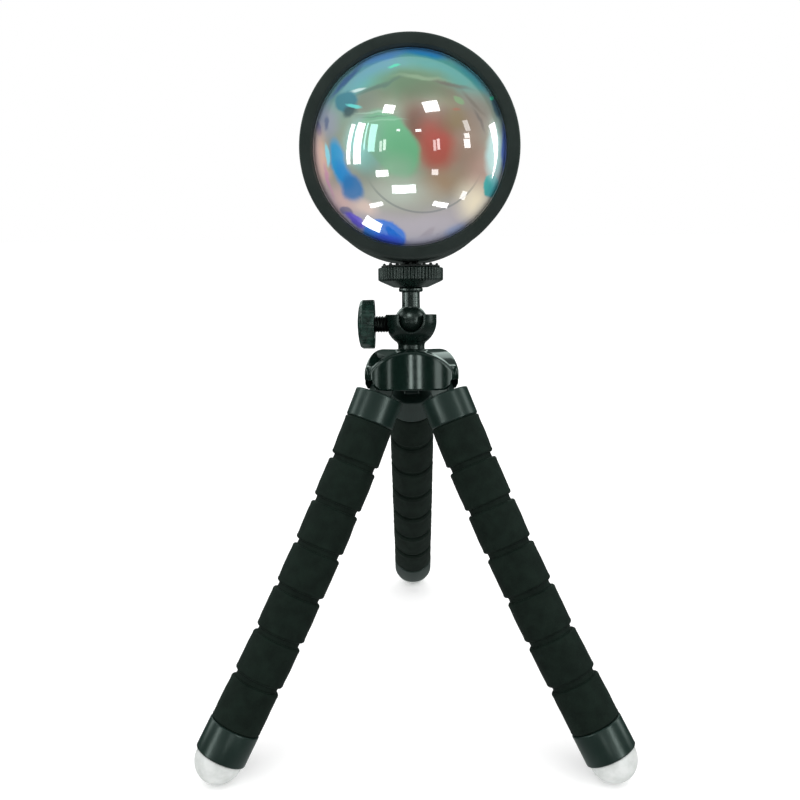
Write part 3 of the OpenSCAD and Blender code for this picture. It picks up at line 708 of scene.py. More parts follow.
def coated_material(name, metallic, coat):
    """The coating, under the lens's clear glass or bare on the filter disc, with a pale blue painted
    reflection at the rim.
    """
    made, tree, shader = new_material(name, Metallic=metallic, Roughness=0.3, Coat_Weight=coat,
                                      Coat_Roughness=0.012, Coat_IOR=2.1)
    far = vector_calc(tree, "LENGTH", vector_calc(tree, "MULTIPLY", head_point(tree), (1, 1, 0)))
    # painted reflection: the coating pales to blue-grey towards the rim, as glass mirrors more at its edge
    painted_rim_reflection = remap(tree, far, 0.88 * DOME_R, DOME_R, 0.0, 0.25, smooth=True)
    feed(tree, shader, Base_Color=blend_colour(tree, painted_rim_reflection, coating_with_painted_reflections(tree), shade(120, 150, 190)))
    return made


# Each look's dark and light tone and its roughness, then what moulded() and metal() take.
MOULDED = {
    "housing_plastic": ((0.013, 0.017, 0.016), (0.018, 0.023, 0.022), 0.46),
    "bezel_plastic": ((0.009, 0.0165, 0.014), (0.013, 0.0215, 0.0185), 0.5, 9.0),
    "inner_plastic": ((0.006, 0.007, 0.007), (0.010, 0.011, 0.011), 0.6),
    "black_plastic": ((0.0015, 0.0055, 0.004), (0.003, 0.0095, 0.007), 0.1, 5.0, 0.3, 0.0015, 0.02),
    "ball_plastic": ((0.0015, 0.0055, 0.004), (0.003, 0.0095, 0.007), 0.27, 5.0, 0.3, 0.002, 0.04),
    "satin_plastic": ((0.0045, 0.0135, 0.0105), (0.006, 0.0165, 0.013), 0.31, 9.0, 0.12, 0.003, 0.02),
    # partly painted highlights: the knob's light tone, in small blotches, stands for light caught by its
    # textured face, on top of a drift in the plastic's colour
    "knob_plastic": ((0.002, 0.0075, 0.0055), (0.012, 0.034, 0.026), 0.26, 1.6, 0.3, 0.012, 0.08),
    "seal_rubber": ((0.006, 0.006, 0.006), (0.010, 0.010, 0.010), 0.7),
    "pad_rubber": ((0.006, 0.008, 0.007), (0.012, 0.014, 0.013), 0.62, 3.0),
    "board_white": ((0.74, 0.74, 0.71), (0.84, 0.84, 0.81), 0.4),
    "board_green": ((0.01, 0.085, 0.035), (0.02, 0.13, 0.055), 0.35),
    "emitter": ((0.80, 0.56, 0.06), (0.92, 0.70, 0.12), 0.35),
    "wire_sleeve": ((0.42, 0.015, 0.012), (0.55, 0.03, 0.02), 0.45),
    "thermal_pad": ((0.34, 0.36, 0.40), (0.44, 0.46, 0.50), 0.7),
}
METALS = {
    "brass": ((0.62, 0.42, 0.14), (0.78, 0.56, 0.22), 0.3),
    "steel": ((0.46, 0.47, 0.48), (0.62, 0.63, 0.64), 0.28),
    "black_steel": ((0.02, 0.022, 0.022), (0.05, 0.052, 0.05), 0.34),
    "aluminium": ((0.68, 0.69, 0.70), (0.80, 0.81, 0.82), 0.32),
    "reflector_metal": ((0.80, 0.81, 0.82), (0.90, 0.90, 0.91), 0.12, 1.5),
}
MATERIALS = {name: moulded(name, *look) for name, look in MOULDED.items()}
MATERIALS.update({name: metal(name, *look) for name, look in METALS.items()})
MATERIALS["foot_rubber"] = rubber_foot_material()
MATERIALS["foam"] = foam_material()
MATERIALS["filter_glass"] = coated_material("filter_glass", 0.6, 0.0)
MATERIALS["lens_glass"] = coated_material("lens_glass", 0.0, 1.0)


# -------- lamp head

def carve(target, mesh, place):
    """Cuts a closed mesh out of a piece and keeps the result as plain mesh."""
    data = mesh_data("cutter", mesh, place)
    shape = bmesh.new()
    shape.from_mesh(data)
    bmesh.ops.recalc_face_normals(shape, faces=shape.faces)
    shape.to_mesh(data)
    shape.free()
    cutter = add_object("cutter", data)
    step = target.modifiers.new("carve", "BOOLEAN")
    step.object = cutter
    step.operation = "DIFFERENCE"
    step.solver = "EXACT"
    bpy.context.view_layer.update()
    result = bpy.data.meshes.new_from_object(target.evaluated_get(bpy.context.evaluated_depsgraph_get()))
    target.modifiers.clear()
    target.data = result
    bpy.data.objects.remove(cutter)


def make_bezel():
    outline = rounded([
        (OPENING_R, LIP_BACK, 0.1), (LENS_R + 0.1, LIP_BACK, 0), (LENS_R + 0.1, LENS_BACK, 0),
        (COLLAR_R, LENS_BACK, 0), (COLLAR_R, BEZEL_BACK, 0.1),
        (BEZEL_R - BEZEL_BEVEL, BEZEL_BACK, 0.15), (BEZEL_R, BEZEL_BACK + BEZEL_BEVEL, 0.15),
        (BEZEL_R, HEAD_FRONT, 0.9), (OPENING_R + 0.75, HEAD_FRONT, 0.2),
        (OPENING_R, HEAD_FRONT - 0.8, 0.2)])
    piece("bezel_ring", lathe(outline, 224), HEAD, "bezel_plastic", "lamp", ["front_bezel"])


def make_housing():
    front = BEZEL_BACK - 0.3
    outline = [(HOUSING_R, front, 0.25)]
    for seam in (SHOULDER + 1.4, COVER_FRONT + 5.6):
        outline += [(HOUSING_R, seam + 0.6, 0.12), (HOUSING_R - SEAM_DEPTH, seam + 0.3, 0.1),
                    (HOUSING_R - SEAM_DEPTH, seam - 0.3, 0.1), (HOUSING_R, seam - 0.6, 0.12)]
    outline += [(HOUSING_R, COVER_FRONT, 0.2), (SINK_BORE_R, COVER_FRONT, 0.1), (SINK_BORE_R, SHOULDER, 0),
                (INNER_R, SHOULDER, 0), (INNER_R, RIM_FRONT, 0), (COLLAR_R - 0.05, RIM_FRONT, 0.1),
                (COLLAR_R - 0.05, front, 0)]
    outline = rounded(outline, 3)
    made = piece("housing_shell", lathe(outline, 192), HEAD, "housing_plastic", None, ["lamp_housing"])
    hole = lathe([(0, -2), (INSERT_R + 0.02, -2), (INSERT_R + 0.02, 7), (0, 7)], 48)
    carve(made, hole, COLUMN @ shift(0, 0, HEAD_Z - HOUSING_R))
    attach(made, "lamp")


def make_lens():
    top = LIP_BACK + DOME_H
    centre = top - DOME_SPHERE_R
    edge = math.degrees(math.asin((LIP_BACK + 0.3 - centre) / DOME_SPHERE_R))
    dome = arc(0, centre, DOME_SPHERE_R, 90, edge, 40)
    dome[0] = (0, top)
    outline = dome + [(DOME_R - 0.02, LIP_BACK)]
    outline += [(LENS_R - 0.3, LIP_BACK), (LENS_R, LIP_BACK - 0.3), (LENS_R, LENS_BACK + 0.3),
                (LENS_R - 0.3, LENS_BACK), (0, LENS_BACK)]
    piece("lens_dome", lathe(outline, 192), HEAD, "lens_glass", "lamp", ["front_lens"])


def make_rear_cover():
    vent_half, vent_len, vent_mid, vent_pitch = 1.0, 16.0, 3.0, 5

    def field(x, y, z):
        far = length(x, y)
        plate = cut_by(far - HOUSING_R, COVER_FACE - z, z - COVER_FRONT, fillet=0.7)
        spigot = np.maximum(np.abs(far - SINK_BORE_R + 1.15) - 1.1, np.abs(z - COVER_FRONT - 1.2) - 1.3)
        solid = grown(plate, spigot, fillet=0.2)
        # a shallow dish in the middle of the face, with a low rim around it
        solid = np.maximum(solid, -cut_by(far - 30.5, z - COVER_FACE - 0.35))
        for i in range(-3, 4):
            half = (vent_len - abs(i) * 1.6) / 2 - vent_half
            past_end = np.maximum(np.abs(y - vent_mid) - half, 0)
            gap = rod(x - vent_pitch * i, past_end, vent_half)
            solid = cut_by(solid, -gap, fillet=0.25)
        for angle in POST_ANGLES:
            px, py = (POST_CIRCLE * f(math.radians(angle)) for f in (math.cos, math.sin))
            post = length(x - px, y - py)
            boss = cut_by(post - 4.0, COVER_FACE - z, z - COVER_FRONT)
            solid = grown(solid, boss, fillet=0.4)
            solid = cut_by(solid, 1.3 - post, fillet=0.05)
            solid = cut_by(solid, -np.maximum(post - 2.4, z - COVER_FACE - 1.1), fillet=0.15)
        gland = length(x, y - GLAND_Y)
        return cut_by(solid, INSERT_R + 0.02 - gland, fillet=0.1)

    mesh = skin(field, HOUSING_R + 0.8, COVER_FACE - 0.8, COVER_FRONT + 3.4, 0.42)
    piece("back_cover", mesh, HEAD, "housing_plastic", "lamp", ["rear_cover"], crease=50)


def make_gland():
    bore, outer, inside = 2.0, INSERT_R, COVER_FRONT + 1.2
    # the ribbed tail: radius past the bore, depth behind the cover's face, fillet
    tail = ((0, 7.0, 0.2), (1.0, 7.0, 0.25), (1.12, 5.6, 0.1), (0.8, 5.4, 0.1), (0.85, 4.8, 0.1),
            (1.2, 4.6, 0.1), (1.3, 3.6, 0.1), (0.9, 3.4, 0.1), (0.95, 2.8, 0.1), (1.4, 2.6, 0.1),
            (1.6, 1.6, 0.3))
    outline = rounded([(bore + out, COVER_FACE - back, fillet) for out, back, fillet in tail] + [
        (outer + 1.4, COVER_FACE - 1.6, 0.5), (outer + 1.4, COVER_FACE, 0.1), (outer, COVER_FACE, 0),
        (outer, COVER_FRONT, 0), (outer + 0.9, COVER_FRONT, 0.2), (outer + 0.4, inside, 0.3),
        (bore, inside, 0.2)], 3)
    piece("lead_bush", lathe(outline, 72), HEAD @ shift(0, GLAND_Y, 0), "seal_rubber", "lamp",
          ["cable_gland"])


# -------- ball head

def make_mount_screw():
    top = HEAD_Z - HOUSING_R + 6.0
    body = thread(SCREW_R, FLANGE_TOP, top, 1.27, 0.55)
    shank = lathe([(0, BALL_Z + BALL_R / 2), (1.8, BALL_Z + BALL_R / 2), (1.8, FLANGE_TOP + 0.3),
                   (0, FLANGE_TOP + 0.3)], 32)
    piece("camera_screw", joined(body, shank), COLUMN, "black_steel", "stem", ["mount_screw"], crease=60)


def make_wheel():
    grooves = 56
    rim_low = WHEEL_CONE_H + 0.1
    bore = SCREW_R + 0.05
    outline = rounded([
        (bore, 0, 0.1), (WHEEL_CONE_R, 0, 0.4), (WHEEL_R - 1.0, WHEEL_CONE_H - 0.25, 0.2),
        (WHEEL_R, WHEEL_CONE_H + 0.3, 0.35), (WHEEL_R, WHEEL_CONE_H + 1.8, 0),
        (WHEEL_R, WHEEL_H - 1.8, 0), (WHEEL_R, WHEEL_H, 0.4), (WHEEL_R - 1.5, WHEEL_H, 0),
        (bore, WHEEL_H, 0.1)])

    def knurl(r, z, angle):
        if r < WHEEL_R - 0.9 or z < rim_low - 0.2:
            return r
        wave = abs(math.sin(angle * grooves / 2))
        depth = 0.42 * min(1.0, (r - WHEEL_R + 0.9) / 0.6)
        return r - depth * (1 - wave) ** 1.4 - 0.02

    piece("locking_wheel", lathe(outline, grooves * 10, knurl), COLUMN @ shift(0, 0, WHEEL_Z),
          "ball_plastic", "wheel", ["shoe_wheel"], crease=60)


def make_pad():
    reach, rib_pitch = WHEEL_R - 1.2, 2.4

    def field(x, y, z):
        far = length(x, y)
        base = cut_by(far - reach, z - PAD_T, -z, fillet=0.2)
        from_rib = x - rib_pitch * np.clip(np.round(x / rib_pitch), -4, 4)
        ribs = cut_by(np.abs(from_rib) - 0.55, far - reach + 0.4, z - PAD_T - PAD_RIB, 0.2 - z)
        return cut_by(grown(base, ribs, fillet=0.2), SCREW_R + 0.05 - far, fillet=0.1)

    mesh = skin(field, reach + 0.6, -0.6, PAD_T + PAD_RIB + 0.6, 0.19)
    piece("grip_pad", mesh, COLUMN @ shift(0, 0, PAD_Z), "pad_rubber", "wheel", ["shoe_pad"], crease=55)


def make_ball_stem():
    neck_z = math.sqrt(BALL_R ** 2 - (STEM_R + 0.08) ** 2)
    neck_angle = math.degrees(math.asin(neck_z / BALL_R))
    ball = arc(0, BALL_Z, BALL_R, -90, neck_angle - 1, 30)
    ball[0] = (0, BALL_Z - BALL_R)
    foot_z = BALL_Z + neck_z
    outline = ball + [(STEM_R + 0.07, foot_z + 0.15), (STEM_R + 0.02, foot_z + 0.5), (STEM_R, foot_z + 1.2),
                      (STEM_R - 0.04, STEM_TOP - 1.2)]
    outline += rounded([(STEM_R - 0.04, STEM_TOP - 0.6, 0), (STEM_R, STEM_TOP, 0.25),
                        (FLANGE_R, STEM_TOP, 0.7), (FLANGE_R, FLANGE_TOP, 0.6), (0, FLANGE_TOP, 0)])
    piece("ball_and_stem", lathe(outline, 96), COLUMN, "ball_plastic", "stem", ["ball_stem"])


def make_cup():
    def field(x, y, z):
        far = length(x, y)
        from_ball = length(far, z - BALL_Z)
        outer = np.where(z < BALL_Z, from_ball, far) - CUP_R
        bowl = cut_by(outer, z - BALL_Z - CUP_RIM)
        neck = cut_by(far - NECK_R, HUB_H - z, z - BALL_Z, fillet=0.1)
        solid = grown(bowl, neck, fillet=0.7)
        solid = cut_by(solid, CAVITY_R - from_ball, fillet=0.25)
        sides = np.abs(x) - NOTCH_R
        slot = np.where(z > NOTCH_Z, sides, rod(x, z - NOTCH_Z, NOTCH_R))
        solid = cut_by(solid, -np.maximum(slot, y), fillet=0.66)
        bore = rod(y, z - CLAMP_Z, CLAMP_SCREW_R + 0.05)
        return cut_by(solid, -np.maximum(bore, x), fillet=0.2)

    mesh = skin(field, CUP_R + 0.6, HUB_H - 0.5, BALL_Z + CUP_RIM + 0.5, 0.17)
    piece("socket_cup", mesh, COLUMN, "ball_plastic", "hub", ["ball_cup"], crease=60)


def make_clamp():
    screw_end = KNOB_X + KNOB_T * 0.6
    screw = thread(CLAMP_SCREW_R, -screw_end, -BALL_R - 1.75, 1.0, 0.38)
    piece("clamp_screw", along_x(screw, CLAMP_Z), COLUMN, "black_steel", "clamp", ["knob_screw"], crease=60)
    face = KNOB_X + KNOB_T
    top = face + KNOB_DOME
    bore = CLAMP_SCREW_R + 0.02
    flutes = 24
    outline = [(0, top), (2.5, top - 0.09), (4.6, top - 0.3)]
    outline += rounded([
        (5.6, top - 0.46, 0), (5.9, top - 0.75, 0.1), (6.3, top - 0.55, 0.1),
        (KNOB_R - 0.75, face + 0.02, 0.5), (KNOB_R - 0.05, face - 0.9, 0.5),
        (KNOB_R, KNOB_X + 1.6, 0), (KNOB_R, KNOB_X, 0.35), (CLAMP_SCREW_R + 2.2, KNOB_X, 0.2),
        (CLAMP_SCREW_R + 1.8, KNOB_X + 0.4, 0.1), (bore, KNOB_X + 0.4, 0)])
    outline += [(bore, screw_end), (0, screw_end)]

    def flute(r, z, angle):
        if r < KNOB_R - 0.9:
            return r
        wave = math.cos(angle * flutes) * 0.5 + 0.5
        return r - 0.12 * wave ** 3

    verts, faces = lathe(outline, flutes * 8, flute)
    knob = [(-z, y, CLAMP_Z + x) for x, y, z in verts], faces
    piece("clamp_knob", knob, COLUMN, "knob_plastic", "clamp", ["lock_knob"], crease=45)


# -------- hub

def hub_lobe_field(x, y, z):
    """One arched lobe that faces the front."""
    arch = rod(x, z - HUB_H + SEAT_RISE + LOBE_ARCH_R, LOBE_ARCH_R)
    bow = rod(x, y - LOBE_BOW_R + LOBE_REACH, LOBE_BOW_R)
    shell = cut_by(arch, bow, np.abs(x) - LOBE_HALF_W, fillet=1.1)
    return np.maximum(shell, y + 2.6)


def make_hub():
    slot = TAB_W / 2 + 0.3
    roof = PIN_Z + TAB_T / 2 + 0.4
    back = PIN_R - TAB_T / 2 - 0.3
    front = PIN_R + TAB_T / 2 + 0.3
    widest = math.radians(WIDEST_SPLAY)
    # low and high corners of the rooms that a leg's hinge tab folds in
    rooms = (((-slot, -front, -5), (slot, -back, roof)),
             ((-slot, -front - 1.6, -5), (slot, -front + 1, PIN_Z + 1.4)),
             ((-slot, -25, -5), (slot, -front + 1, 3.5)))

    def field(x, y, z):
        lobes = [hub_lobe_field(*spun(x, y, angle), z) for angle in (0, 120, 240)]
        seat = cut_by(rod(x, y, NECK_R) - 0.8, z - HUB_H, fillet=0.15)
        valleys = []
        for leg in LEGS:
            px, py = spun(x, y, AZIMUTH[leg])
            valleys.append(cut_by(rod(px, py + VALLEY_AT, VALLEY_R), z - HUB_H + VALLEY_DROP, fillet=0.8))
        solid = grown(*lobes, *valleys, fillet=0.25)
        solid = grown(solid, seat)
        solid = cut_by(solid, -z, fillet=0.35)
        for leg in LEGS:
            px, py = spun(x, y, AZIMUTH[leg])
            # how far down a leg at its widest splay, whose collar needs room too
            down = (PIN_Z - z) * math.cos(widest) - (py + PIN_R) * math.sin(widest)
            room = np.maximum(COLLAR_START - 0.3 - down, np.abs(px) - LOBE_HALF_W)
            for low, high in rooms:
                room = np.minimum(room, block(px, py, z, low, high))
            solid = cut_by(solid, -room)
        far = length(x, y)
        return np.maximum(solid, -np.maximum(far - 3.4, z - 2.4))

    mesh = skin(field, 20.5, -0.8, HUB_H + 0.8, 0.29)
    piece("hub_body", mesh, COLUMN, "black_plastic", "hub", ["hub"], crease=60)


# -------- legs

def leg_head_mesh():
    """The collar and its hinge tab as one moulding."""
    def field(x, y, z):
        far = length(x, y)
        collar = cut_by(far - LEG_COLLAR_R, COLLAR_START - z, z - COLLAR_END, fillet=0.55)
        barrel = rod(y, z, TAB_T / 2)
        web = np.where(z > 0, np.abs(y) - TAB_T / 2, barrel)
        tab = cut_by(web, np.abs(x) - TAB_W / 2, z - COLLAR_START - 2, fillet=0.35)
        solid = grown(collar, tab, fillet=0.8)
        solid = cut_by(solid, -rod(y, z, PIN_BORE_R), fillet=0.1)
        return np.maximum(solid, -np.maximum(far - CORE_R, COLLAR_START + 3 - z))

    return skin(field, LEG_COLLAR_R + 0.6, -TAB_T / 2 - 0.6, COLLAR_END + 0.6, 0.27)


def uneven(seed):
    """A small waviness that makes foam look hand-cut, the same at every run."""
    def shape(r, z, angle):
        if r < FOAM_R - 2.0:
            return r
        wave = math.sin(2 * angle + seed) * math.sin(0.31 * z + 1.7 * seed)
        wave += 0.6 * math.sin(5 * angle - 0.23 * z + 2.1 * seed) * math.sin(0.9 * z + seed)
        wave += 0.35 * math.sin(11 * angle + 0.6 * z + 3.3 * seed)
        return r + 0.045 * wave - 0.08
    return shape


def foam_outline(spans, bore):
    """Outline of one or two segments on a bore, with the neck between them."""
    outline = [(bore, spans[0][0])]
    for i, (low, high) in enumerate(spans):
        if i:
            neck = FOAM_R - GROOVE_DEPTH
            outline += [(neck, spans[i - 1][1] - 0.05), (neck - 0.12, (spans[i - 1][1] + low) / 2),
                        (neck, low + 0.05)]
        rise = high - low
        outline += arc(FOAM_R - FOAM_EDGE, low + FOAM_EDGE, FOAM_EDGE, -90, 0, 6)
        rows = max(int(rise / 0.9), 3)
        for j in range(1, rows):
            share = j / rows
            crown = 0.10 * math.sin(math.pi * share)
            outline.append((FOAM_R + crown - 0.1, low + FOAM_EDGE + (rise - 2 * FOAM_EDGE) * share))
        outline += arc(FOAM_R - FOAM_EDGE, high - FOAM_EDGE, FOAM_EDGE, 0, 90, 6)
    outline.append((bore, spans[-1][1]))
    return outline


def sleeve_spans():
    """Where the foam segments of each section start and end, down its leg."""
    first = (GROOVE_HALF, PITCH - GROOVE_HALF)
    second = (PITCH + GROOVE_HALF, 2 * PITCH - GROOVE_HALF)
    return ([(COLLAR_END, SECTION_LEN[0] - GROOVE_HALF)], [first, second], [first, second],
            [first, (PITCH + GROOVE_HALF, FERRULE_START)])


def make_sleeves(leg, number):
    for k, spans in enumerate(sleeve_spans()):
        seed = 1.3 * number + 0.7 * k + 0.4
        mesh = lathe(foam_outline(spans, CORE_R + 0.3), 96, uneven(seed))
        made = piece(f"{leg}_sleeve_{k + 1}", mesh, section(leg, k), "foam", f"{leg}_leg_{k + 1}",
                     [f"{leg}_foam_{k + 1}"], crease=60)


def make_necks(leg):
    """The thin foam in the three grooves that bend, each placed at the joint between the sections it joins.
    """
    end, bend_half = 1.9, 1.2
    neck = FOAM_R - GROOVE_DEPTH - 0.05
    waist = [(neck - 0.12 * math.cos(math.pi * t / (2 * end)) ** 2, t) for t in np.linspace(-1.6, 1.6, 9)]
    outline = [(CORE_R, -end), (neck, -end), *waist, (neck, end), (CORE_R, end)]
    for k in (1, 2, 3):
        place = section(leg, k)
        stands_for = [f"{leg}_core"] if k == 1 else []
        made = piece(f"{leg}_neck_{k}", lathe(outline, 64), place, "foam", None, stands_for, crease=60)
        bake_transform(made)


def make_foot(leg):
    """The ferrule at the end of a leg, and the rubber ball that is pressed into it."""
    socket, socket_floor, lip = 6.0, FERRULE_END - 5, FERRULE_END - 0.6
    ferrule = rounded([
        (CORE_R, FERRULE_START, 0), (FERRULE_R, FERRULE_START, 0.45), (FERRULE_R, FERRULE_END, 0.5),
        (FERRULE_R - 1.0, FERRULE_END, 0.15), (FERRULE_R - 1.3, lip, 0),
        (socket, lip, 0), (socket, socket_floor, 0), (CORE_R, socket_floor, 0)])
    piece(f"{leg}_end_ferrule", lathe(ferrule, 128), section(leg, 3), "satin_plastic", f"{leg}_leg_4",
          [f"{leg}_ferrule"])
    centre = FERRULE_END + FOOT_SINK
    low = math.degrees(math.asin((-0.5 - FOOT_SINK) / FOOT_R))
    bead = arc(0, centre, FOOT_R, 90, low, 36)
    bead[0] = (0, centre + FOOT_R)
    bead = [(min(r, FERRULE_R - 1.32) if z < FERRULE_END else r, z) for r, z in bead]
    plug_r, plug_end = socket - 0.02, FERRULE_END - 4.8
    foot = bead + [(plug_r, FERRULE_END - 0.55), (plug_r, plug_end), (0, plug_end)]
    piece(f"{leg}_ball_foot", lathe(foot, 112), section(leg, 3), "foot_rubber", f"{leg}_leg_4",
          [f"{leg}_foot"])


def make_legs():
    head_mesh = leg_head_mesh()
    for number, leg in enumerate(LEGS):
        piece(f"{leg}_collar", head_mesh, section(leg, 0), "satin_plastic", f"{leg}_leg_1",
              [f"{leg}_leg_head"], crease=60)
        make_sleeves(leg, number)
        make_necks(leg)
        make_foot(leg)


# -------- what stays from the CAD model

CAD_FINISH = {
    "lens_seal": "seal_rubber", "filter_holder": "inner_plastic", "dichroic_filter": "filter_glass",
    "led_reflector": "reflector_metal", "led_emitter": "emitter", "led_board": "board_white",
    "thermal_pad": "thermal_pad", "heat_sink": "aluminium", "board_screws": "steel",
    "led_leads": "wire_sleeve", "driver_board": "board_green", "rear_screws": "steel",
    "mount_insert": "brass", "clamp_pad": "brass", "hub_screw": "steel", "hinge_pins": "steel",
}


def finish_cad_nodes():
    for name, finish in CAD_FINISH.items():
        for material_slot in frame["nodes"][name].material_slots:
            material_slot.material = MATERIALS[finish]


make_bezel()
make_housing()
make_lens()
make_rear_cover()
make_gland()
make_mount_screw()
make_wheel()
make_pad()
make_ball_stem()
make_cup()
make_clamp()
make_hub()
make_legs()
finish_cad_nodes()


# -------- camera

scene = bpy.context.scene
CAMERA_AT = Vector((-0.56, -307.7, 191.8))
CAMERA_PITCH = 13.94
CAMERA_YAW = 0.76
CAMERA_ROLL = -0.717
CAMERA_LENS = 36
CAMERA_SENSOR = 36


def make_camera():
    data = bpy.data.cameras.new("camera")
    data.lens = CAMERA_LENS
    data.sensor_width = CAMERA_SENSOR
    data.clip_start = 0.01
    made = add_object("camera", data)
    made.matrix_world = (Matrix.Translation(CAMERA_AT * MM) @ turn(CAMERA_YAW, "Z")
                         @ turn(90 - CAMERA_PITCH, "X") @ turn(CAMERA_ROLL, "Z"))
    scene.camera = made


make_camera()


# -------- floor, studio and lights

def make_floor():
    size = 4.0
    data = bpy.data.meshes.new("floor")
    data.from_pydata([(-size, -size, 0), (size, -size, 0), (size, size, 0), (-size, size, 0)], [],
                     [(0, 1, 2, 3)])
    made, tree, shader = new_material("floor", Roughness=0.9, Specular_IOR_Level=0.0,
                                      Emission_Color=(1, 1, 1, 1), Emission_Strength=0.16)
    cloud = noise(tree, object_point(tree), 400.0)
    feed(tree, shader, Base_Color=blend_colour(tree, cloud, (0.90, 0.90, 0.90), (0.92, 0.92, 0.92)))
    data.materials.append(made)
    floor = add_object("floor", data)
    floor.visible_glossy = False


def make_world():
    """White all round, and a greyer studio for what shines."""
    world = bpy.data.worlds.new("studio")
    world.use_nodes = True
    scene.world = world
    tree = world.node_tree
    point = node(tree, "TexCoord").outputs["Generated"]
    height = node(tree, "SeparateXYZ", Vector=point).outputs["Z"]
    above = remap(tree, height, 0.05, 0.95, smooth=True)
    below = remap(tree, height, -0.2, -0.95, smooth=True)
    dim = blend_colour(tree, above, (0.03, 0.055, 0.046), (0.42, 0.54, 0.50))
    dim = blend_colour(tree, below, dim, (0.42, 0.46, 0.45))
    shine = node(tree, "LightPath").outputs["Is Glossy Ray"]
    feed(tree, tree.nodes["Background"], Strength=1.0, Color=blend_colour(tree, shine, (1.0, 1.0, 1.0), dim))


def area(name, at, aim, width, height, radiance, shine=False, tint=(1, 1, 1), onto=()):
    """A rectangular light by its place and aim in metres: it either lights things or only shines on them.

    A light with pieces to shine onto leaves the others alone.
    """
    data = bpy.data.lights.new(name, "AREA")
    data.shape = "RECTANGLE"
    data.size = width
    data.size_y = height
    data.energy = radiance * width * height * math.pi
    data.color = tint
    made = add_object(name, data)
    made.location = at
    made.rotation_euler = (Vector(aim) - Vector(at)).to_track_quat("-Z", "Y").to_euler()
    made.visible_camera = False
    made.visible_diffuse = not shine
    made.visible_glossy = shine
    if onto:
        group = bpy.data.collections.new(name + "_shines_on")
        for other in onto:
            group.objects.link(other)
        made.light_linking.receiver_collection = group


LENS = bpy.data.objects["lens_dome"]
ALL_DARK = [made for made in bpy.data.objects if made.type == "MESH" and made != LENS]
HEAD_PARTS = ("bezel_ring", "housing_shell", "back_cover", "lead_bush")
BELOW_HEAD = [made for made in ALL_DARK if made.name not in HEAD_PARTS]
CYAN = (0.55, 1.0, 0.92)
COOL = (0.84, 1.0, 0.94)


def window(name, x, y, width, height, radiance, tint=(1, 1, 1), away=0.9):
    """A light that the dome mirrors where the camera sees the point (x, y) of the dome's foot.

    Its image is about that many millimetres wide and high.
    """
    foot = HEAD @ Vector((x, y, LIP_BACK))
    centre = HEAD @ Vector((0, 0, LIP_BACK + DOME_H - DOME_SPHERE_R))
    sight = (foot - CAMERA_AT).normalized()
    along = (centre - CAMERA_AT).dot(sight)
    beside = (centre - CAMERA_AT - along * sight).length
    spot = CAMERA_AT + sight * (along - math.sqrt(DOME_SPHERE_R ** 2 - beside ** 2))
    normal = (spot - centre).normalized()
    out = sight - 2 * sight.dot(normal) * normal
    at = spot * MM + out * away
    spread = 2 * away / DOME_SPHERE_R
    area(name, at, spot * MM, width * spread, height * spread, radiance, True, tint, [LENS])


def strip(name, azimuth, elevation, width, height, radiance, away=1.2, onto=BELOW_HEAD):
    """A tall narrow light, by its angles from the hub in degrees and its angular size."""
    hub_at = Vector((0, -0.02, 0.132))
    side, rise = math.radians(azimuth), math.radians(elevation)
    out = Vector((math.sin(side) * math.cos(rise), -math.cos(side) * math.cos(rise), math.sin(rise)))
    at = hub_at + out * away
    area(name, at, hub_at, away * math.radians(width), away * math.radians(height), radiance, True,
         COOL, onto)


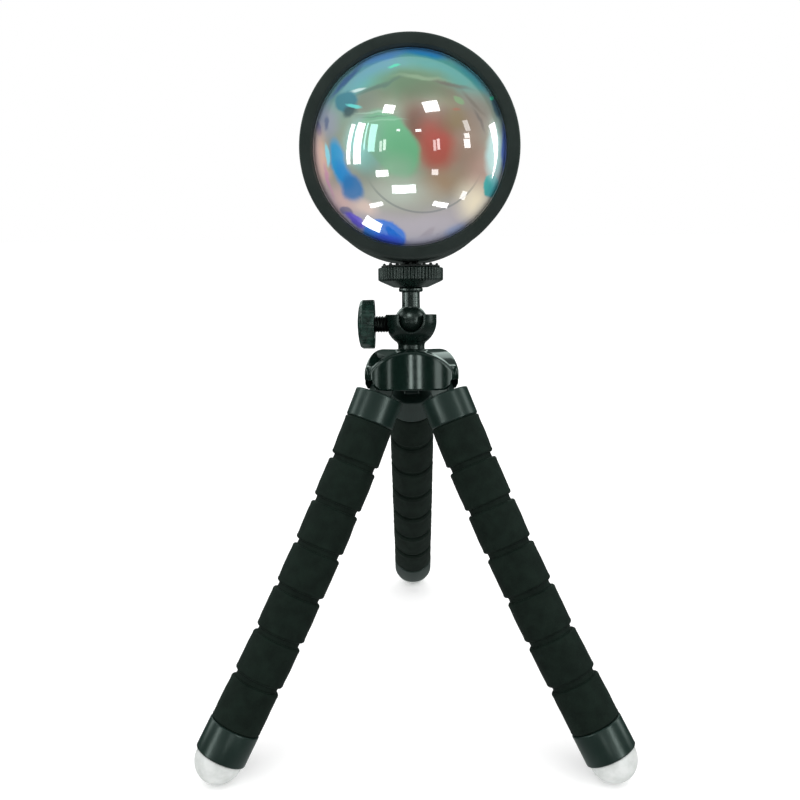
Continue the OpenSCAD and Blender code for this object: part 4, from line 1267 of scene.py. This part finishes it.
# A room's windows and lamps as the dome mirrors them: name, x, y, width, height, radiance, tint.
WINDOWS = (
    ("tall_left_outer", -20.6, 1.6, 1.6, 12, 9),
    ("tall_left", -17.7, 1.8, 3.0, 13, 10),
    ("tall_left_thin", -15.0, 4.2, 0.5, 8.5, 5, CYAN),
    ("tall_left_cyan", -12.7, 3.6, 2.6, 9, 5, CYAN),
    ("tall_right", 30.6, -1.6, 6.5, 13, 10),
    ("low_left", -14, -27.4, 11.5, 5.4, 11),
    ("lamp_left", -6.9, 13, 3.7, 3, 11),
    ("lamp_right", 7.4, 13.7, 5, 3.8, 11),
    ("spark_left", -3.8, 6, 1.2, 0.8, 6),
    ("spark_right", 3, 5.8, 1.9, 0.9, 9),
    ("pane_outer_-1", -9.85, 0.8, 1.0, 3.6, 3.5),
    ("pane_inner_-1", -8.55, 1.2, 1.0, 3.6, 4.5),
    ("pane_outer_1", 8.55, 0.8, 1.0, 3.6, 3.5),
    ("pane_inner_1", 9.85, 1.2, 1.0, 3.6, 4.5),
    ("pane_far_top", 19.4, 7.2, 2.1, 3.2, 3),
    ("pane_far_middle", 19.5, 3.9, 2.2, 1.5, 5.5),
    ("pane_far_low", 19.6, 1.3, 2.6, 2.6, 7),
    ("quad_middle", -2.1, -13.7, 8.4, 3.0, 9, (0.85, 1.0, 0.97)),
    ("quad_left", -9.5, -8.3, 4.6, 2.2, 9),
    ("quad_right", 8.6, -8.1, 2.4, 1.9, 5),
    ("quad_far_right", 18.3, -16, 2.2, 2.6, 4),
    ("quad_low_left", -11.6, -18.8, 5, 1.5, 8),
    ("quad_low_right", 10.4, -19, 5.6, 1.8, 9),
)
# Azimuth, width and radiance of tall panes.
STREAKS = ((-40, 3, 5), (-32, 2.5, 3.2), (-20, 2.4, 3.4), (-0.5, 2.2, 10), (7, 3.2, 7), (24, 6, 3.4),
           (35, 4, 3))


def make_lights():
    area("overhead", (0.1, -0.25, 1.5), (0, 0, 0.1), 1.6, 1.6, 1.2)
    area("left_fill", (-1.3, -0.7, 0.8), (0, 0, 0.12), 0.9, 1.2, 0.8)
    area("right_fill", (1.3, -0.6, 0.8), (0, 0, 0.12), 0.9, 1.2, 0.9)
    for row in WINDOWS:
        window(*row)
    # tall panes that the hub's bowed faces mirror as streaks
    for azimuth, width, radiance in STREAKS:
        strip(f"streak_{azimuth}", azimuth, 3.5, width, 9, radiance)
    # panes for the ball and its stem alone
    ball = [bpy.data.objects["ball_and_stem"]]
    strip("stem_left", -74, 6, 12, 30, 11, onto=ball)
    strip("stem_right", 74, 6, 10, 30, 14, onto=ball)
    strip("ball_glow", -18, 50, 22, 18, 9, onto=ball)
    # broad soft panes to both sides, for the round parts
    strip("side_left", -54, 12, 10, 44, 6.5)
    strip("side_right", 44, 12, 10, 44, 7.5)
    strip("side_far_left", -105, 20, 18, 50, 2.4, onto=ALL_DARK)
    strip("side_far_right", 100, 20, 18, 50, 2.6, onto=ALL_DARK)
    strip("back_left", -150, 25, 24, 40, 2.0, onto=ALL_DARK)
    strip("back_right", 160, 25, 20, 40, 2.2, onto=ALL_DARK)


make_floor()
make_world()
make_lights()
scene.view_settings.view_transform = "Standard"
